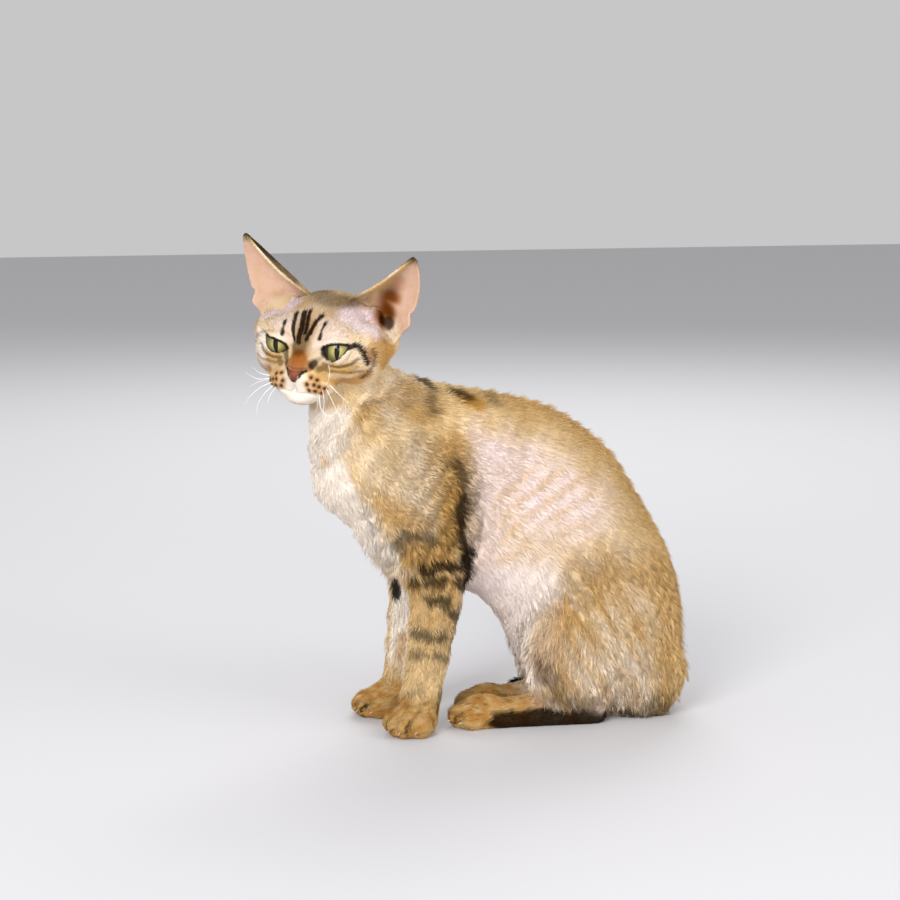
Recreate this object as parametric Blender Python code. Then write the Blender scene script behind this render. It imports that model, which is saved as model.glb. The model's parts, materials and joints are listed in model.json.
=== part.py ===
"""A seated devon rex cat at life size, as the solids of its body parts.

The cat faces -X and its left side is towards -Y. It sits on the floor, z = 0, and looks
round over its left shoulder. The outline is that of the coat's tips, in millimetres below
and in metres in the scene. The flesh is lofted through named sections, rounded off by a
voxel remesh, and parted by thin cuts into the pieces that a person would name.
"""

import math
from dataclasses import dataclass

import bmesh
import bpy
import numpy as np
from mathutils import Matrix, Vector

MM = 0.001
GAP = 0.3  # what is left between two neighbouring solids
FLAT_WITHIN = 4.0  # faces within this many degrees of each other are made one
SIDES = {"left": -1, "right": 1}  # the sides of the cat, as the sign of y and of the head's x
REACH = 500.0  # the size of a cutter that stands for a half space
SHARP_OVER = 50.0  # edges that bend by more than this many degrees are shown sharp
GLOSS = {"eye": 0.15}  # the roughness of what is not fur
FUR_ROUGHNESS = 0.85

# The head's own frame has X to the cat's right, Y out of the face and Z up, with its origin
# midway between the centres of the eyes.
HEAD_AT = Vector((-114.3, -19.0, 270.6))
HEAD_YAW = 52.0  # how far the face is turned from straight ahead, towards the left
HEAD_PITCH = 9.0  # how far the nose is dipped
HEAD_ROLL = 6.5  # how far the left ear is lowered

EYE_APART = 42.0
EYE_RADIUS = 10.3
EYE_SPLAY = 13.0  # how far each eye looks outward, in degrees
LID_SLANT = 12.0  # how far the outer corner of the lids is raised, in degrees
LID_OPENING = ((0, 14, -1.2), (10, 12, 6.2))  # the middle and the radii of what opens the lids

FORELEG_Y = 26.0
# Where each forepaw and each heel is on the floor, as x and y, and how far it is turned out
# to the cat's left in degrees.
FOREPAW_AT = {"left": (-38, -FORELEG_Y, 38), "right": (-44, FORELEG_Y, 12)}
HEEL_AT = {"left": (86, -37.5, -7), "right": (92, 31, 13)}
FORELEG_TOP = 104.0  # the height of the elbow, where the leg is parted from the shoulder
ANKLE_TOP = 24.0

COLOURS = {
    "head": (0.62, 0.45, 0.29),
    "ear": (0.80, 0.56, 0.47),
    "eye": (0.45, 0.46, 0.16),
    "nose": (0.42, 0.16, 0.09),
    "neck": (0.60, 0.47, 0.35),
    "chest": (0.72, 0.58, 0.46),
    "belly": (0.76, 0.62, 0.50),
    "rump": (0.66, 0.50, 0.33),
    "shoulder": (0.60, 0.45, 0.29),
    "foreleg": (0.62, 0.46, 0.28),
    "forepaw": (0.58, 0.38, 0.18),
    "thigh": (0.68, 0.52, 0.34),
    "hindfoot": (0.56, 0.37, 0.18),
    "tail": (0.40, 0.27, 0.16),
}


@dataclass
class Section:
    """One ring of a loft: two opposite outline points in the side view, and its width.

    upper and lower are (x, z) in the side view, y is how far the ring's middle is to the
    side, and half_width is half its width across.
    """

    upper: tuple
    lower: tuple
    y: float
    half_width: float

    def numbers(self):
        return np.array([*self.upper, *self.lower, self.y, self.half_width], float)

    def opposite(self):
        return Section(self.upper, self.lower, -self.y, self.half_width)


@dataclass
class Mass:
    """One ellipsoid of flesh: its middle, its radii, and its dip about X in degrees.

    A paired mass has a twin across the plane x = 0 of its own frame.
    """

    middle: tuple
    radii: tuple
    dip: float = 0.0
    paired: bool = False


# From the nape to the seat. The upper points run down the back, and the lower ones down the
# throat, the breast and the belly.
TRUNK = [
    Section((-66, 264), (-108, 238), 7, 28),
    Section((-46, 249), (-111, 211), 3, 31),
    Section((-18, 240), (-111, 184), 0, 34),
    Section((4, 236), (-107, 160), 0, 37),
    Section((28, 231), (-88, 144), 0, 39),
    Section((61, 221.5), (-60, 112), 0, 42),
    Section((88, 204), (-22, 95), 0, 45),
    Section((108, 186), (4, 90), 0, 48),
    Section((125, 159), (23, 72), 0, 49),
    Section((142, 132), (35, 48), 0, 49),
    Section((154.5, 105), (47, 26), 0, 48),
    Section((160, 80), (64, 6), 0, 47),
    Section((161, 46), (88, -5), 0, 45),
    Section((160, 16), (118, -6), 0, 38),
]
NECK_RINGS = 3  # how many of these rings the head's mesh shares with the trunk's
TRUNK_SIDES = 36

# The shoulder blade, the upper arm and the leg down to the floor, for the cat's left. Here
# upper is the front edge and lower is the back edge.
FORELEG = [
    Section((-50, 214), (-14, 218), -20, 8),
    Section((-66, 196), (-10, 201), -24, 13),
    Section((-78, 172), (-8, 178), -27, 16),
    Section((-72, 146), (-7, 150), -29, 17),
    Section((-58, 118), (-8, 122), -29, 17),
    Section((-49, 98), (-8, 101), -28, 17),
    Section((-48.5, 84), (-11, 85), -27, 16.5),
    Section((-50.5, 64), (-15.5, 66), -FORELEG_Y, 15.5),
    Section((-52, 45), (-20, 44), -FORELEG_Y, 14.8),
    Section((-54, 27), (-24, 26), -FORELEG_Y, 14.8),
    Section((-57, 12), (-27, 11), -FORELEG_Y, 15),
]
ANKLE_RINGS = 4  # how many of these rings the paw's mesh shares with the leg's
ANKLE_SIDES = 20

# The haunch, for the cat's left.
HAUNCH = [
    Mass((96, -31, 60), (54, 24, 55)),
    Mass((106, -24, 98), (40, 25, 42)),
    Mass((124, -26, 30), (33, 25, 37)),
    Mass((56, -34, 46), (24, 16, 36)),
    Mass((72, -36, 30), (34, 16, 24)),
]
KNEE_BEFORE = 80.0  # the masses in front of here are the knee's
FAR_KNEE_BACK = 11.0  # how much further back the right knee is than the left one

# A hind foot flat on the floor, from its heel at x = 0 forward to the toes at -X. Here upper
# is its top line and lower is its sole.
HINDFOOT = [
    Section((6, 14), (7, 2), 0, 8),
    Section((0, 22), (0, -4), 0, 12),
    Section((-24, 25), (-24, -4), 0, 13),
    Section((-50, 21), (-50, -4), 0, 12.5),
    Section((-72, 19), (-72, -4), 0, 13),
    Section((-86, 19), (-86, -3), 0, 14),
    Section((-94, 15), (-94, -2), 0, 12),
]
HINDFOOT_PAW = 73.0  # how far in front of the heel the paw's own frame is
HINDFOOT_WIDE = 0.86  # the width of a hind paw, as a share of a forepaw's

# The ball and the two outer and two inner toes of a forepaw, in the paw's own frame.
PAW = [
    Mass((-8, 0, 9), (18, 15.5, 14)),
    Mass((-17.5, -13.8, 8), (11, 5.6, 8.6)),
    Mass((-24, -4.6, 8), (11, 5.6, 9.5)),
    Mass((-24, 4.6, 8), (11, 5.6, 9.5)),
    Mass((-17.5, 13.8, 8), (11, 5.6, 8.6)),
]

HEAD_MASSES = [
    Mass((0, -31, 4), (34, 37, 25)),
    Mass((0, -13, 7), (30, 19, 19), dip=-20),
    Mass((31, -15, 1), (16.5, 18, 16), paired=True),
    Mass((34, -33, 3), (18, 17, 20), paired=True),
    Mass((28, -18, -12), (19, 22, 20), paired=True),
    Mass((0, -12, -20), (27, 28, 17)),
    Mass((-4, -42, -12), (27, 25, 24)),
    Mass((21, -34, -12), (21, 22, 21), paired=True),
    Mass((17, -2, 9.5), (17, 10.5, 9), paired=True),
    Mass((23, -3, -12), (16, 12, 9), paired=True),
    Mass((0, 3, -15), (25, 16, 15)),
    Mass((0, 6, 0), (12, 10, 12), dip=-20),
    Mass((0, 12, -8), (8.5, 11, 8), dip=-40),
    Mass((12.5, 11, -23), (13, 11.5, 9.5), paired=True),
    Mass((0, 18, -17), (10, 8.5, 9)),
    Mass((0, 11, -31.5), (14, 11.5, 8.5)),
]
NOSE = Mass((0, 22.5, -15), (6.8, 4.4, 4.6))

# The edges of the right ear from its root to its tip, as quadratic curves in the head's
# frame, and the way and the depth that its cup is hollowed.
EAR_FRONT_EDGE = ((14, -32, 24), (37, -28, 46), (61, -24, 66))
EAR_BACK_EDGE = ((44, -28, -8), (69, -40, 31), (65, -26, 60))
EAR_HOLLOW = Vector((-0.45, -0.88, 0.1))
EAR_DEPTH = 17.0
EAR_THICK = 2.0
EAR_CELLS = 8
EAR_TIP_AT = 0.99  # where the tip is closed, as a share of the edges' length
EAR_NARROWS = 5  # the power of the height at which the tip narrows
EAR_SHALLOWS = 0.8  # the power of the height at which the cup gets shallow

# The middle line of the tail from its root under the rump to its tip, with its radius.
TAIL = [
    (148, 8, 15, 9.5),
    (157, 32, 12, 9.2),
    (150, 54, 9.4, 8.6),
    (126, 68, 8.2, 7.8),
    (98, 71, 7.4, 7.2),
    (72, 66, 6.8, 6.6),
    (52, 56, 6.0, 5.8),
    (42, 50, 4.6, 4.2),
]
TAIL_BESIDE = 30.0  # past this y the tail lies beside the cat
TAIL_SIDES = 10
TAIL_STEPS = 3


@dataclass
class Rounding:
    """How a fused mesh is rounded off: its voxel, its smoothing and the triangles it keeps."""

    voxel: float
    rounds: int
    triangles: int


BODY_ROUNDING = Rounding(2.5, 18, 1840)
HEAD_ROUNDING = Rounding(1.5, 13, 1600)
FOREPAW_ROUNDING = Rounding(1.4, 3, 370)
HINDFOOT_ROUNDING = Rounding(1.5, 3, 390)


def head_matrix():
    """The head's frame, as a matrix from its own millimetres to the model's."""
    turned = Matrix.Rotation(math.radians(90 + HEAD_YAW), 4, "Z")
    dipped = Matrix.Rotation(math.radians(-HEAD_PITCH), 4, "X")
    rolled = Matrix.Rotation(math.radians(-HEAD_ROLL), 4, "Y")
    return Matrix.Translation(HEAD_AT) @ turned @ dipped @ rolled


def paw_matrix(x, y, heading):
    """The frame of a paw: its own -X is forward, turned to the cat's left by heading."""
    return Matrix.Translation((x, y, 0)) @ Matrix.Rotation(math.radians(heading), 4, "Z")


def curve_through(rows, steps):
    """The rows of numbers with smooth rows put in between, by a Catmull-Rom curve."""
    rows = np.vstack([2 * rows[0] - rows[1], rows, 2 * rows[-1] - rows[-2]])
    found = []
    for i in range(1, len(rows) - 2):
        before, start, end, after = rows[i - 1 : i + 3]
        for t in np.linspace(0, 1, steps, endpoint=False):
            cubic = 3 * (start - end) + after - before
            square = 2 * before - 5 * start + 4 * end - after
            found.append(start + 0.5 * t * (end - before + t * (square + t * cubic)))
    found.append(rows[-2])
    return found


def join_rings(form, rings):
    """Bridges a row of rings of points into a closed tube."""
    loops = []
    for ring in rings:
        verts = [form.verts.new(point) for point in ring]
        neighbours = zip(verts, verts[1:] + verts[:1])
        loops.append([form.edges.new(pair) for pair in neighbours])
    for first, second in zip(loops, loops[1:]):
        bmesh.ops.bridge_loops(form, edges=first + second)
    for end in (loops[0], loops[-1]):
        bmesh.ops.contextual_create(form, geom=end)


def add_loft(form, sections, place=Matrix(), steps=4, sides=26):
    """Adds a closed tube through the sections to a bmesh."""
    rings = []
    for ux, uz, lx, lz, y, wide in curve_through(
        np.array([section.numbers() for section in sections]), steps
    ):
        middle = Vector(((ux + lx) / 2, y, (uz + lz) / 2))
        half = Vector(((ux - lx) / 2, 0, (uz - lz) / 2))
        angles = [math.tau * i / sides for i in range(sides)]
        rings.append(
            [
                place @ (middle + half * math.cos(a) + Vector((0, wide * math.sin(a), 0)))
                for a in angles
            ]
        )
    join_rings(form, rings)


def add_mass(form, mass, place=Matrix()):
    """Adds an ellipsoid, and its twin if it is paired, to a bmesh."""
    for side in (1, -1) if mass.paired else (1,):
        middle = Vector((mass.middle[0] * side, *mass.middle[1:]))
        dipped = Matrix.Rotation(math.radians(mass.dip), 3, "X")
        shape = place @ Matrix.LocRotScale(middle, dipped, Vector(mass.radii))
        bmesh.ops.create_uvsphere(form, u_segments=24, v_segments=16, radius=1, matrix=shape)


def object_of(name, form):
    """A new object from a bmesh in millimetres, with its mesh in metres."""
    bmesh.ops.scale(form, vec=(MM, MM, MM), verts=form.verts)
    bmesh.ops.recalc_face_normals(form, faces=form.faces)
    mesh = bpy.data.meshes.new(name)
    form.to_mesh(mesh)
    form.free()
    made = bpy.data.objects.new(name, mesh)
    bpy.context.scene.collection.objects.link(made)
    return made


def copy_of(made, name):
    """A second object with a mesh of its own."""
    copied = bpy.data.objects.new(name, made.data.copy())
    bpy.context.scene.collection.objects.link(copied)
    return copied


def settle(made):
    """Applies every modifier of an object to its mesh."""
    graph = bpy.context.evaluated_depsgraph_get()
    mesh = bpy.data.meshes.new_from_object(made.evaluated_get(graph))
    made.modifiers.clear()
    made.data = mesh
    return made


def rounded(made, rounding):
    """Fuses the overlapping shells of an object, rounds them and thins out the triangles."""
    fuse = made.modifiers.new("fuse", "REMESH")
    fuse.mode = "VOXEL"
    fuse.voxel_size = rounding.voxel * MM
    smooth = made.modifiers.new("smooth", "SMOOTH")
    smooth.factor = 0.5
    smooth.iterations = rounding.rounds
    settle(made)
    thin = made.modifiers.new("thin", "DECIMATE")
    thin.ratio = rounding.triangles / (2 * len(made.data.polygons))
    return settle(made)


def flattened(made):
    """Merges the slivers that the cuts left, where the faces lie nearly in one plane."""
    merge = made.modifiers.new("merge", "DECIMATE")
    merge.decimate_type = "DISSOLVE"
    merge.angle_limit = math.radians(FLAT_WITHIN)
    return settle(made)


def grown(made, name="grown"):
    """A copy of an object that is larger all round by the gap, to cut its neighbour with."""
    larger = copy_of(made, name)
    push = larger.modifiers.new("push", "DISPLACE")
    push.mid_level = 0
    push.strength = GAP * MM
    return settle(larger)


def cut(made, cutter, operation="DIFFERENCE"):
    """Applies a Boolean with the cutter, and keeps the cutter."""
    boolean = made.modifiers.new("cut", "BOOLEAN")
    boolean.operation = operation
    boolean.object = cutter
    return settle(made)


def cut_and_drop(made, cutter, operation="DIFFERENCE"):
    """Applies a Boolean with the cutter, and removes the cutter."""
    cut(made, cutter, operation)
    bpy.data.objects.remove(cutter)
    return made


@dataclass
class Ball:
    """A cutter in the shape of an ellipsoid, which can be grown by a margin."""

    middle: tuple
    radii: tuple
    place: Matrix

    def build(self, margin=0.0):
        radii = Vector(self.radii) + Vector((margin, margin, margin))
        shape = self.place @ Matrix.LocRotScale(Vector(self.middle), None, radii)
        form = bmesh.new()
        bmesh.ops.create_uvsphere(form, u_segments=12, v_segments=8, radius=1, matrix=shape)
        return object_of("cutter", form)


@dataclass
class Plug:
    """A cutter in the shape of an oval bar that comes in from one side, along Y."""

    middle: tuple
    radii: tuple
    inner_y: float
    outer_y: float

    def build(self, margin=0.0):
        inner_y = self.inner_y - math.copysign(margin, self.outer_y)
        middle = Vector((self.middle[0], (inner_y + self.outer_y) / 2, self.middle[1]))
        radii = Vector((self.radii[0] + margin, self.radii[1] + margin, 1))
        lying = Matrix.Rotation(math.radians(90), 4, "X") @ Matrix.Diagonal(radii).to_4x4()
        form = bmesh.new()
        bmesh.ops.create_cone(
            form,
            cap_ends=True,
            segments=28,
            radius1=1,
            radius2=1,
            depth=abs(self.outer_y - inner_y),
            matrix=Matrix.Translation(middle) @ lying,
        )
        return object_of("cutter", form)


@dataclass
class Block:
    """A cutter that holds all that lies behind a plane, within limits of x and y."""

    point: tuple
    outward: tuple
    low: tuple = (-REACH, -REACH)
    high: tuple = (REACH, REACH)

    def build(self, margin=0.0):
        outward = Vector(self.outward).normalized()
        form = bmesh.new()
        bmesh.ops.create_cube(form, size=2 * REACH)
        planes = [(Vector(self.point) + outward * margin, outward)]
        for axis, (low, high) in enumerate(zip(self.low, self.high)):
            for limit, way in ((low - margin, -1), (high + margin, 1)):
                if abs(limit) < REACH:
                    plane = [Vector(), Vector()]
                    plane[0][axis] = limit
                    plane[1][axis] = way
                    planes.append(plane)
        for corner, away in planes:
            everything = form.verts[:] + form.edges[:] + form.faces[:]
            found = bmesh.ops.bisect_plane(
                form, geom=everything, plane_co=corner, plane_no=away, clear_outer=True
            )
            rim = [e for e in found["geom_cut"] if isinstance(e, bmesh.types.BMEdge)]
            bmesh.ops.contextual_create(form, geom=rim)
        return object_of("cutter", form)


FLOOR = Block((0, 0, 0), (0, 0, 1))
HEAD_CUT = Block((-74, 0, 243), (0.62, 0, -0.78))
NECK_CUT = Block((-68, 0, 217), (0.557, 0, -0.83))
CHEST_CUT = Block((20, 0, 160), (1, 0, -0.35))
RUMP_CUT = Block((112, 0, 120), (-1, 0, -0.6))
ELBOW_CUT = Block((-30, 0, FORELEG_TOP), (0.35, 0, 1))
LEG_SIDES = (3.0, 64.0)  # how far from the middle the cuts through a foreleg reach
BEHIND_ELBOW = -2.0  # the x that they reach back to
SHOULDER_CUT = Plug((-42, 158), (42, 56), 17, 70)
THIGH_CUT = Plug((94, 58), (66, 74), 19, 70)
TAIL_CUTS = {
    "tail_tip": Block((80, 0, 0), (1, 0, 0), low=(-REACH, TAIL_BESIDE)),
    "tail_middle": Block((140, 0, 0), (1, 0, 0), low=(-REACH, TAIL_BESIDE)),
}


def part_off(body, name, cutter):
    """Takes what lies in the cutter off a body as a new piece, with the gap between them."""
    piece = cut_and_drop(copy_of(body, name), cutter.build(), "INTERSECT")
    cut_and_drop(body, cutter.build(GAP))
    return piece


def make_body():
    """The trunk, the neck, the haunches and the forelegs, as one mesh."""
    form = bmesh.new()
    add_loft(form, TRUNK, sides=TRUNK_SIDES)
    add_loft(form, FORELEG)
    add_loft(form, [section.opposite() for section in FORELEG])
    for mass in HAUNCH:
        add_mass(form, mass)
        x, y, z = mass.middle
        back = FAR_KNEE_BACK if x < KNEE_BEFORE else 0
        add_mass(form, Mass((x + back, -y, z), mass.radii))
    return cut_and_drop(rounded(object_of("belly", form), BODY_ROUNDING), FLOOR.build())


def make_head():
    """The head from the crown to the chin, with the top of the neck, as one mesh."""
    form = bmesh.new()
    for mass in HEAD_MASSES:
        add_mass(form, mass, head_matrix())
    add_loft(form, TRUNK[:NECK_RINGS], sides=TRUNK_SIDES)
    return rounded(object_of("head", form), HEAD_ROUNDING)


def eye_frame(side):
    """The frame of an eye: its Y looks out and its X lies along the slit of the lids."""
    middle = Matrix.Translation((side * EYE_APART / 2, 0, 0))
    splay = Matrix.Rotation(math.radians(-EYE_SPLAY * side), 4, "Z")
    slant = Matrix.Rotation(math.radians(-LID_SLANT * side), 4, "Y")
    return head_matrix() @ middle @ splay @ slant


def make_eye(name, side, head):
    """One eyeball, with its socket and the opening of its lids cut into the head."""
    form = bmesh.new()
    bmesh.ops.create_uvsphere(
        form, u_segments=12, v_segments=8, radius=EYE_RADIUS, matrix=eye_frame(side)
    )
    radii = (EYE_RADIUS, EYE_RADIUS, EYE_RADIUS)
    cut_and_drop(head, Ball((0, 0, 0), radii, eye_frame(side)).build(GAP))
    cut_and_drop(head, Ball(*LID_OPENING, eye_frame(side)).build())
    return object_of(name, form)


def make_nose(head):
    """The bare leather of the nose, let into the head."""
    nose = Ball(NOSE.middle, NOSE.radii, head_matrix())
    cut_and_drop(head, nose.build(GAP))
    piece = nose.build()
    piece.name = "nose"
    return piece


def bezier(points, t):
    """A point of a quadratic curve."""
    start, bend, end = (Vector(point) for point in points)
    return start * (1 - t) ** 2 + bend * 2 * t * (1 - t) + end * t**2


def ear_point(across, up):
    """A point of the right ear, with across from -1 to 1 and up from 0 to 1."""
    front = bezier(EAR_FRONT_EDGE, up)
    back = bezier(EAR_BACK_EDGE, up)
    narrowed = math.sqrt(1 - up**EAR_NARROWS)
    half = (back - front) / 2 * narrowed
    depth = EAR_DEPTH * (1 - up) ** EAR_SHALLOWS * (1 - across**2)
    return (front + back) / 2 + half * across + EAR_HOLLOW.normalized() * depth


def make_ear(name, side, skull):
    """One ear: a cupped sheet of real thickness, cut off where it meets the skull."""
    form = bmesh.new()
    bmesh.ops.create_grid(form, x_segments=EAR_CELLS, y_segments=EAR_CELLS, size=1)
    place = head_matrix() @ Matrix.Diagonal((side, 1, 1, 1))
    for vert in form.verts:
        up = EAR_TIP_AT * (vert.co.y + 1) / 2
        vert.co = place @ ear_point(vert.co.x, up)
    ear = object_of(name, form)
    thick = ear.modifiers.new("thick", "SOLIDIFY")
    thick.thickness = EAR_THICK * MM
    thick.offset = 0
    settle(ear)
    cut(ear, skull)
    return keep_largest(ear)


def keep_largest(made):
    """Drops every loose bit of a mesh but the largest."""
    form = bmesh.new()
    form.from_mesh(made.data)
    left = set(form.verts)
    islands = []
    while left:
        island = []
        edge = [left.pop()]
        while edge:
            vert = edge.pop()
            island.append(vert)
            reached = {link.other_vert(vert) for link in vert.link_edges} & left
            left -= reached
            edge.extend(reached)
        islands.append(island)
    largest = max(islands, key=len)
    for island in islands:
        if island is not largest:
            bmesh.ops.delete(form, geom=island, context="VERTS")
    form.to_mesh(made.data)
    form.free()
    return made


def make_forepaw(name, side):
    """One forepaw, with the ankle that joins it to the leg."""
    leg = FORELEG if side < 0 else [section.opposite() for section in FORELEG]
    form = bmesh.new()
    for mass in PAW:
        add_mass(form, mass, paw_matrix(*FOREPAW_AT[name]))
    add_loft(form, leg[-ANKLE_RINGS:], sides=ANKLE_SIDES)
    paw = flattened(rounded(object_of(f"forepaw_{name}", form), FOREPAW_ROUNDING))
    cut_and_drop(paw, Block((0, 0, ANKLE_TOP), (0, 0, 1)).build(), "INTERSECT")
    return cut_and_drop(paw, FLOOR.build())


def make_hindfoot(name):
    """One hind foot from heel to toes."""
    place = paw_matrix(*HEEL_AT[name])
    narrow = Matrix.LocRotScale(Vector((-HINDFOOT_PAW, 0, 0)), None, Vector((1, HINDFOOT_WIDE, 1)))
    form = bmesh.new()
    add_loft(form, HINDFOOT, place, sides=ANKLE_SIDES)
    for mass in PAW:
        add_mass(form, mass, place @ narrow)
    foot = flattened(rounded(object_of(f"hindfoot_{name}", form), HINDFOOT_ROUNDING))
    return cut_and_drop(foot, FLOOR.build())


def make_tail():
    """The tail as one tube, laid on the floor round the right haunch."""
    rows = curve_through(np.array(TAIL, float), TAIL_STEPS)
    points = [Vector(row[:3]) for row in rows]
    rings = []
    for i, (point, row) in enumerate(zip(points, rows)):
        ahead = points[min(i + 1, len(points) - 1)] - points[max(i - 1, 0)]
        across = ahead.cross(Vector((0, 0, 1))).normalized()
        above = across.cross(ahead).normalized()
        angles = [math.tau * k / TAIL_SIDES for k in range(TAIL_SIDES)]
        rings.append(
            [point + (across * math.cos(a) + above * math.sin(a)) * row[3] for a in angles]
        )
    form = bmesh.new()
    join_rings(form, rings)
    return cut_and_drop(object_of("tail", form), FLOOR.build())


def centre(pieces):
    """Moves all the pieces so that the origin is under the middle of the whole cat."""
    corners = np.array([made.matrix_world @ v.co for made in pieces for v in made.data.vertices])
    middle = (corners.min(axis=0) + corners.max(axis=0)) / 2
    for made in pieces:
        made.data.transform(Matrix.Translation((-middle[0], -middle[1], 0)))


def dress(made, kind):
    """Gives a piece the material of its kind, and smooth shading."""
    material = bpy.data.materials.get(kind) or bpy.data.materials.new(kind)
    material.use_nodes = True
    shader = material.node_tree.nodes["Principled BSDF"]
    shader.inputs["Base Color"].default_value = (*COLOURS[kind], 1)
    shader.inputs["Roughness"].default_value = GLOSS.get(kind, FUR_ROUGHNESS)
    made.data.materials.clear()
    made.data.materials.append(material)
    made.data.shade_smooth()
    made.data.set_sharp_from_angle(angle=math.radians(SHARP_OVER))


def part_legs(body, name, side):
    """Parts the foreleg, the shoulder and the thigh of one side off the body."""
    low, high = sorted((side * LEG_SIDES[0], side * LEG_SIDES[1]))
    limits = {"low": (-REACH, low), "high": (BEHIND_ELBOW, high)}
    pieces = {}
    cut_and_drop(body, Block((0, 0, ANKLE_TOP), (0, 0, 1), **limits).build(GAP))
    elbow = Block(ELBOW_CUT.point, ELBOW_CUT.outward, **limits)
    pieces[f"foreleg_{name}"] = part_off(body, f"foreleg_{name}", elbow)
    for kind, oval in (("shoulder", SHOULDER_CUT), ("thigh", THIGH_CUT)):
        plug = Plug(oval.middle, oval.radii, side * oval.inner_y, side * oval.outer_y)
        pieces[f"{kind}_{name}"] = part_off(body, f"{kind}_{name}", plug)
    return pieces


def make_flesh():
    """The head and the parts of the body, without what is let into them."""
    head = cut_and_drop(make_head(), HEAD_CUT.build(), "INTERSECT")
    body = make_body()
    neck = part_off(body, "neck", NECK_CUT)
    cut_and_drop(neck, HEAD_CUT.build(GAP))
    pieces = {"head": head, "neck": neck, "belly": body}
    for name, side in SIDES.items():
        pieces.update(part_legs(body, name, side))
    pieces["chest"] = part_off(body, "chest", CHEST_CUT)
    pieces["rump"] = part_off(body, "rump", RUMP_CUT)
    for piece in pieces.values():
        flattened(piece)
    return pieces


def let_in(piece, neighbours):
    """Cuts the room for a piece out of each of its neighbours."""
    larger = grown(piece)
    for neighbour in neighbours:
        cut(neighbour, larger)
    bpy.data.objects.remove(larger)


def main():
    for old in list(bpy.data.objects):
        bpy.data.objects.remove(old)

    pieces = make_flesh()
    head, belly = pieces["head"], pieces["belly"]
    skull = grown(head)
    for name, side in SIDES.items():
        pieces[f"ear_{name}"] = make_ear(f"ear_{name}", side, skull)
        pieces[f"eye_{name}"] = make_eye(f"eye_{name}", side, head)
        pieces[f"forepaw_{name}"] = make_forepaw(name, side)
        hindfoot = make_hindfoot(name)
        let_in(hindfoot, (belly, pieces[f"thigh_{name}"]))
        pieces[f"hindfoot_{name}"] = hindfoot
    bpy.data.objects.remove(skull)
    pieces["nose"] = make_nose(head)

    tail = make_tail()
    let_in(tail, (belly, pieces["thigh_right"], pieces["rump"]))
    for name, cutter in TAIL_CUTS.items():
        pieces[name] = part_off(tail, name, cutter)
    pieces["tail_base"] = tail
    tail.name = "tail_base"

    for name, piece in pieces.items():
        dress(piece, name.split("_")[0])
    centre(pieces.values())


if __name__ == "__main__":
    main()
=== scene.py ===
"""A seated devon rex cat at life size: its skin, coat, eyes, nose, claws and whiskers.

The frame's solids give the place and the outline. One skin is wrapped round them, shaped on the
head, the ears and the paws, and drawn in by the depth of the coat. The coat is many thin solid
tufts that follow the lie of the hair. Lengths are in millimetres and angles in degrees, in the
frame's axes or in those of the head or an eye, until a mesh is finished in metres.
"""

import json
import logging
import math
from collections.abc import Callable, Iterable
from dataclasses import dataclass
from enum import IntEnum

import bmesh
import bpy
import numpy as np
from bmesh.types import BMesh
from bpy.types import Material, Mesh, NodeTree, Object
from mathutils import Matrix, Vector
from mathutils.bvhtree import BVHTree
from mathutils.kdtree import KDTree

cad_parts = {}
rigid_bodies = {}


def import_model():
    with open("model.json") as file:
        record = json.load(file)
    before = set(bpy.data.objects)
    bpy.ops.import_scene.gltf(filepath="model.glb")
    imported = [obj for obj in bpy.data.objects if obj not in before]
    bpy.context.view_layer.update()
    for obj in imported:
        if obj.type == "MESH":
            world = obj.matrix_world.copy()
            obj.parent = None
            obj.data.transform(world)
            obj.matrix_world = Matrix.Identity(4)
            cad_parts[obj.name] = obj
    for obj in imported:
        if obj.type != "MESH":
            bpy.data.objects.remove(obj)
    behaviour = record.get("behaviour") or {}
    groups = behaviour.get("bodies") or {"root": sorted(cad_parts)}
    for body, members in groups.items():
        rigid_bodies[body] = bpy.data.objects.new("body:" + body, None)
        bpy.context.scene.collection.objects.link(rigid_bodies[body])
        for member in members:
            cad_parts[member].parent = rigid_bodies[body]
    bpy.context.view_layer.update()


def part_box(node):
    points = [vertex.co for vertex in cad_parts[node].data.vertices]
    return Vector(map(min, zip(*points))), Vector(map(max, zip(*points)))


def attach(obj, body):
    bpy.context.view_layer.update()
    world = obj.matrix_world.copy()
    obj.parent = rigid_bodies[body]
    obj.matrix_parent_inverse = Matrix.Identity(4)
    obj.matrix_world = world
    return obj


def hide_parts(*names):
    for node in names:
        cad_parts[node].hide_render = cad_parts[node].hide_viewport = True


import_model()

Array = np.ndarray
Point = tuple[float, ...]
Shape = Callable[[Array, Array], Array]
Move = Callable[[Array], Array]
LOG = logging.getLogger("cat")
MM = 0.001
SEED = 7
# How far the coat and the skin stay above the floor.
FLOOR_GAP, SKIN_GAP = 0.05, 0.15
# Stands for any distance from an eye, an ear or the skull that is too far to matter.
FAR = 9.0


def rows(*columns: Array | float) -> Array:
    """Columns of numbers side by side, where a single number fills its own column."""
    return np.stack(np.broadcast_arrays(*columns), axis=1)


def ramp(value: Array, low: float, high: float) -> Array:
    """A smooth step.

    Args:
        value: The numbers to step.
        low: Where the step is 0.
        high: Where it is 1, which may be below low.

    Returns:
        Numbers from 0 to 1.
    """
    t = np.clip((value - low) / (high - low), 0, 1)
    return t * t * (3 - 2 * t)


def lattice(cells: Array, seed: int) -> Array:
    """A number from 0 to 1 for each whole cell, the same on every run."""
    mixed = cells[..., 0] * 73856093 ^ cells[..., 1] * 19349663 ^ cells[..., 2] * 83492791
    mixed = (mixed ^ seed * 40503) * 1274126177 & 0xFFFFFFFF
    mixed = (mixed ^ mixed >> 15) * 2246822519 & 0xFFFFFFFF
    return (mixed >> 8 & 0xFFFF) / 0xFFFF


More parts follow.
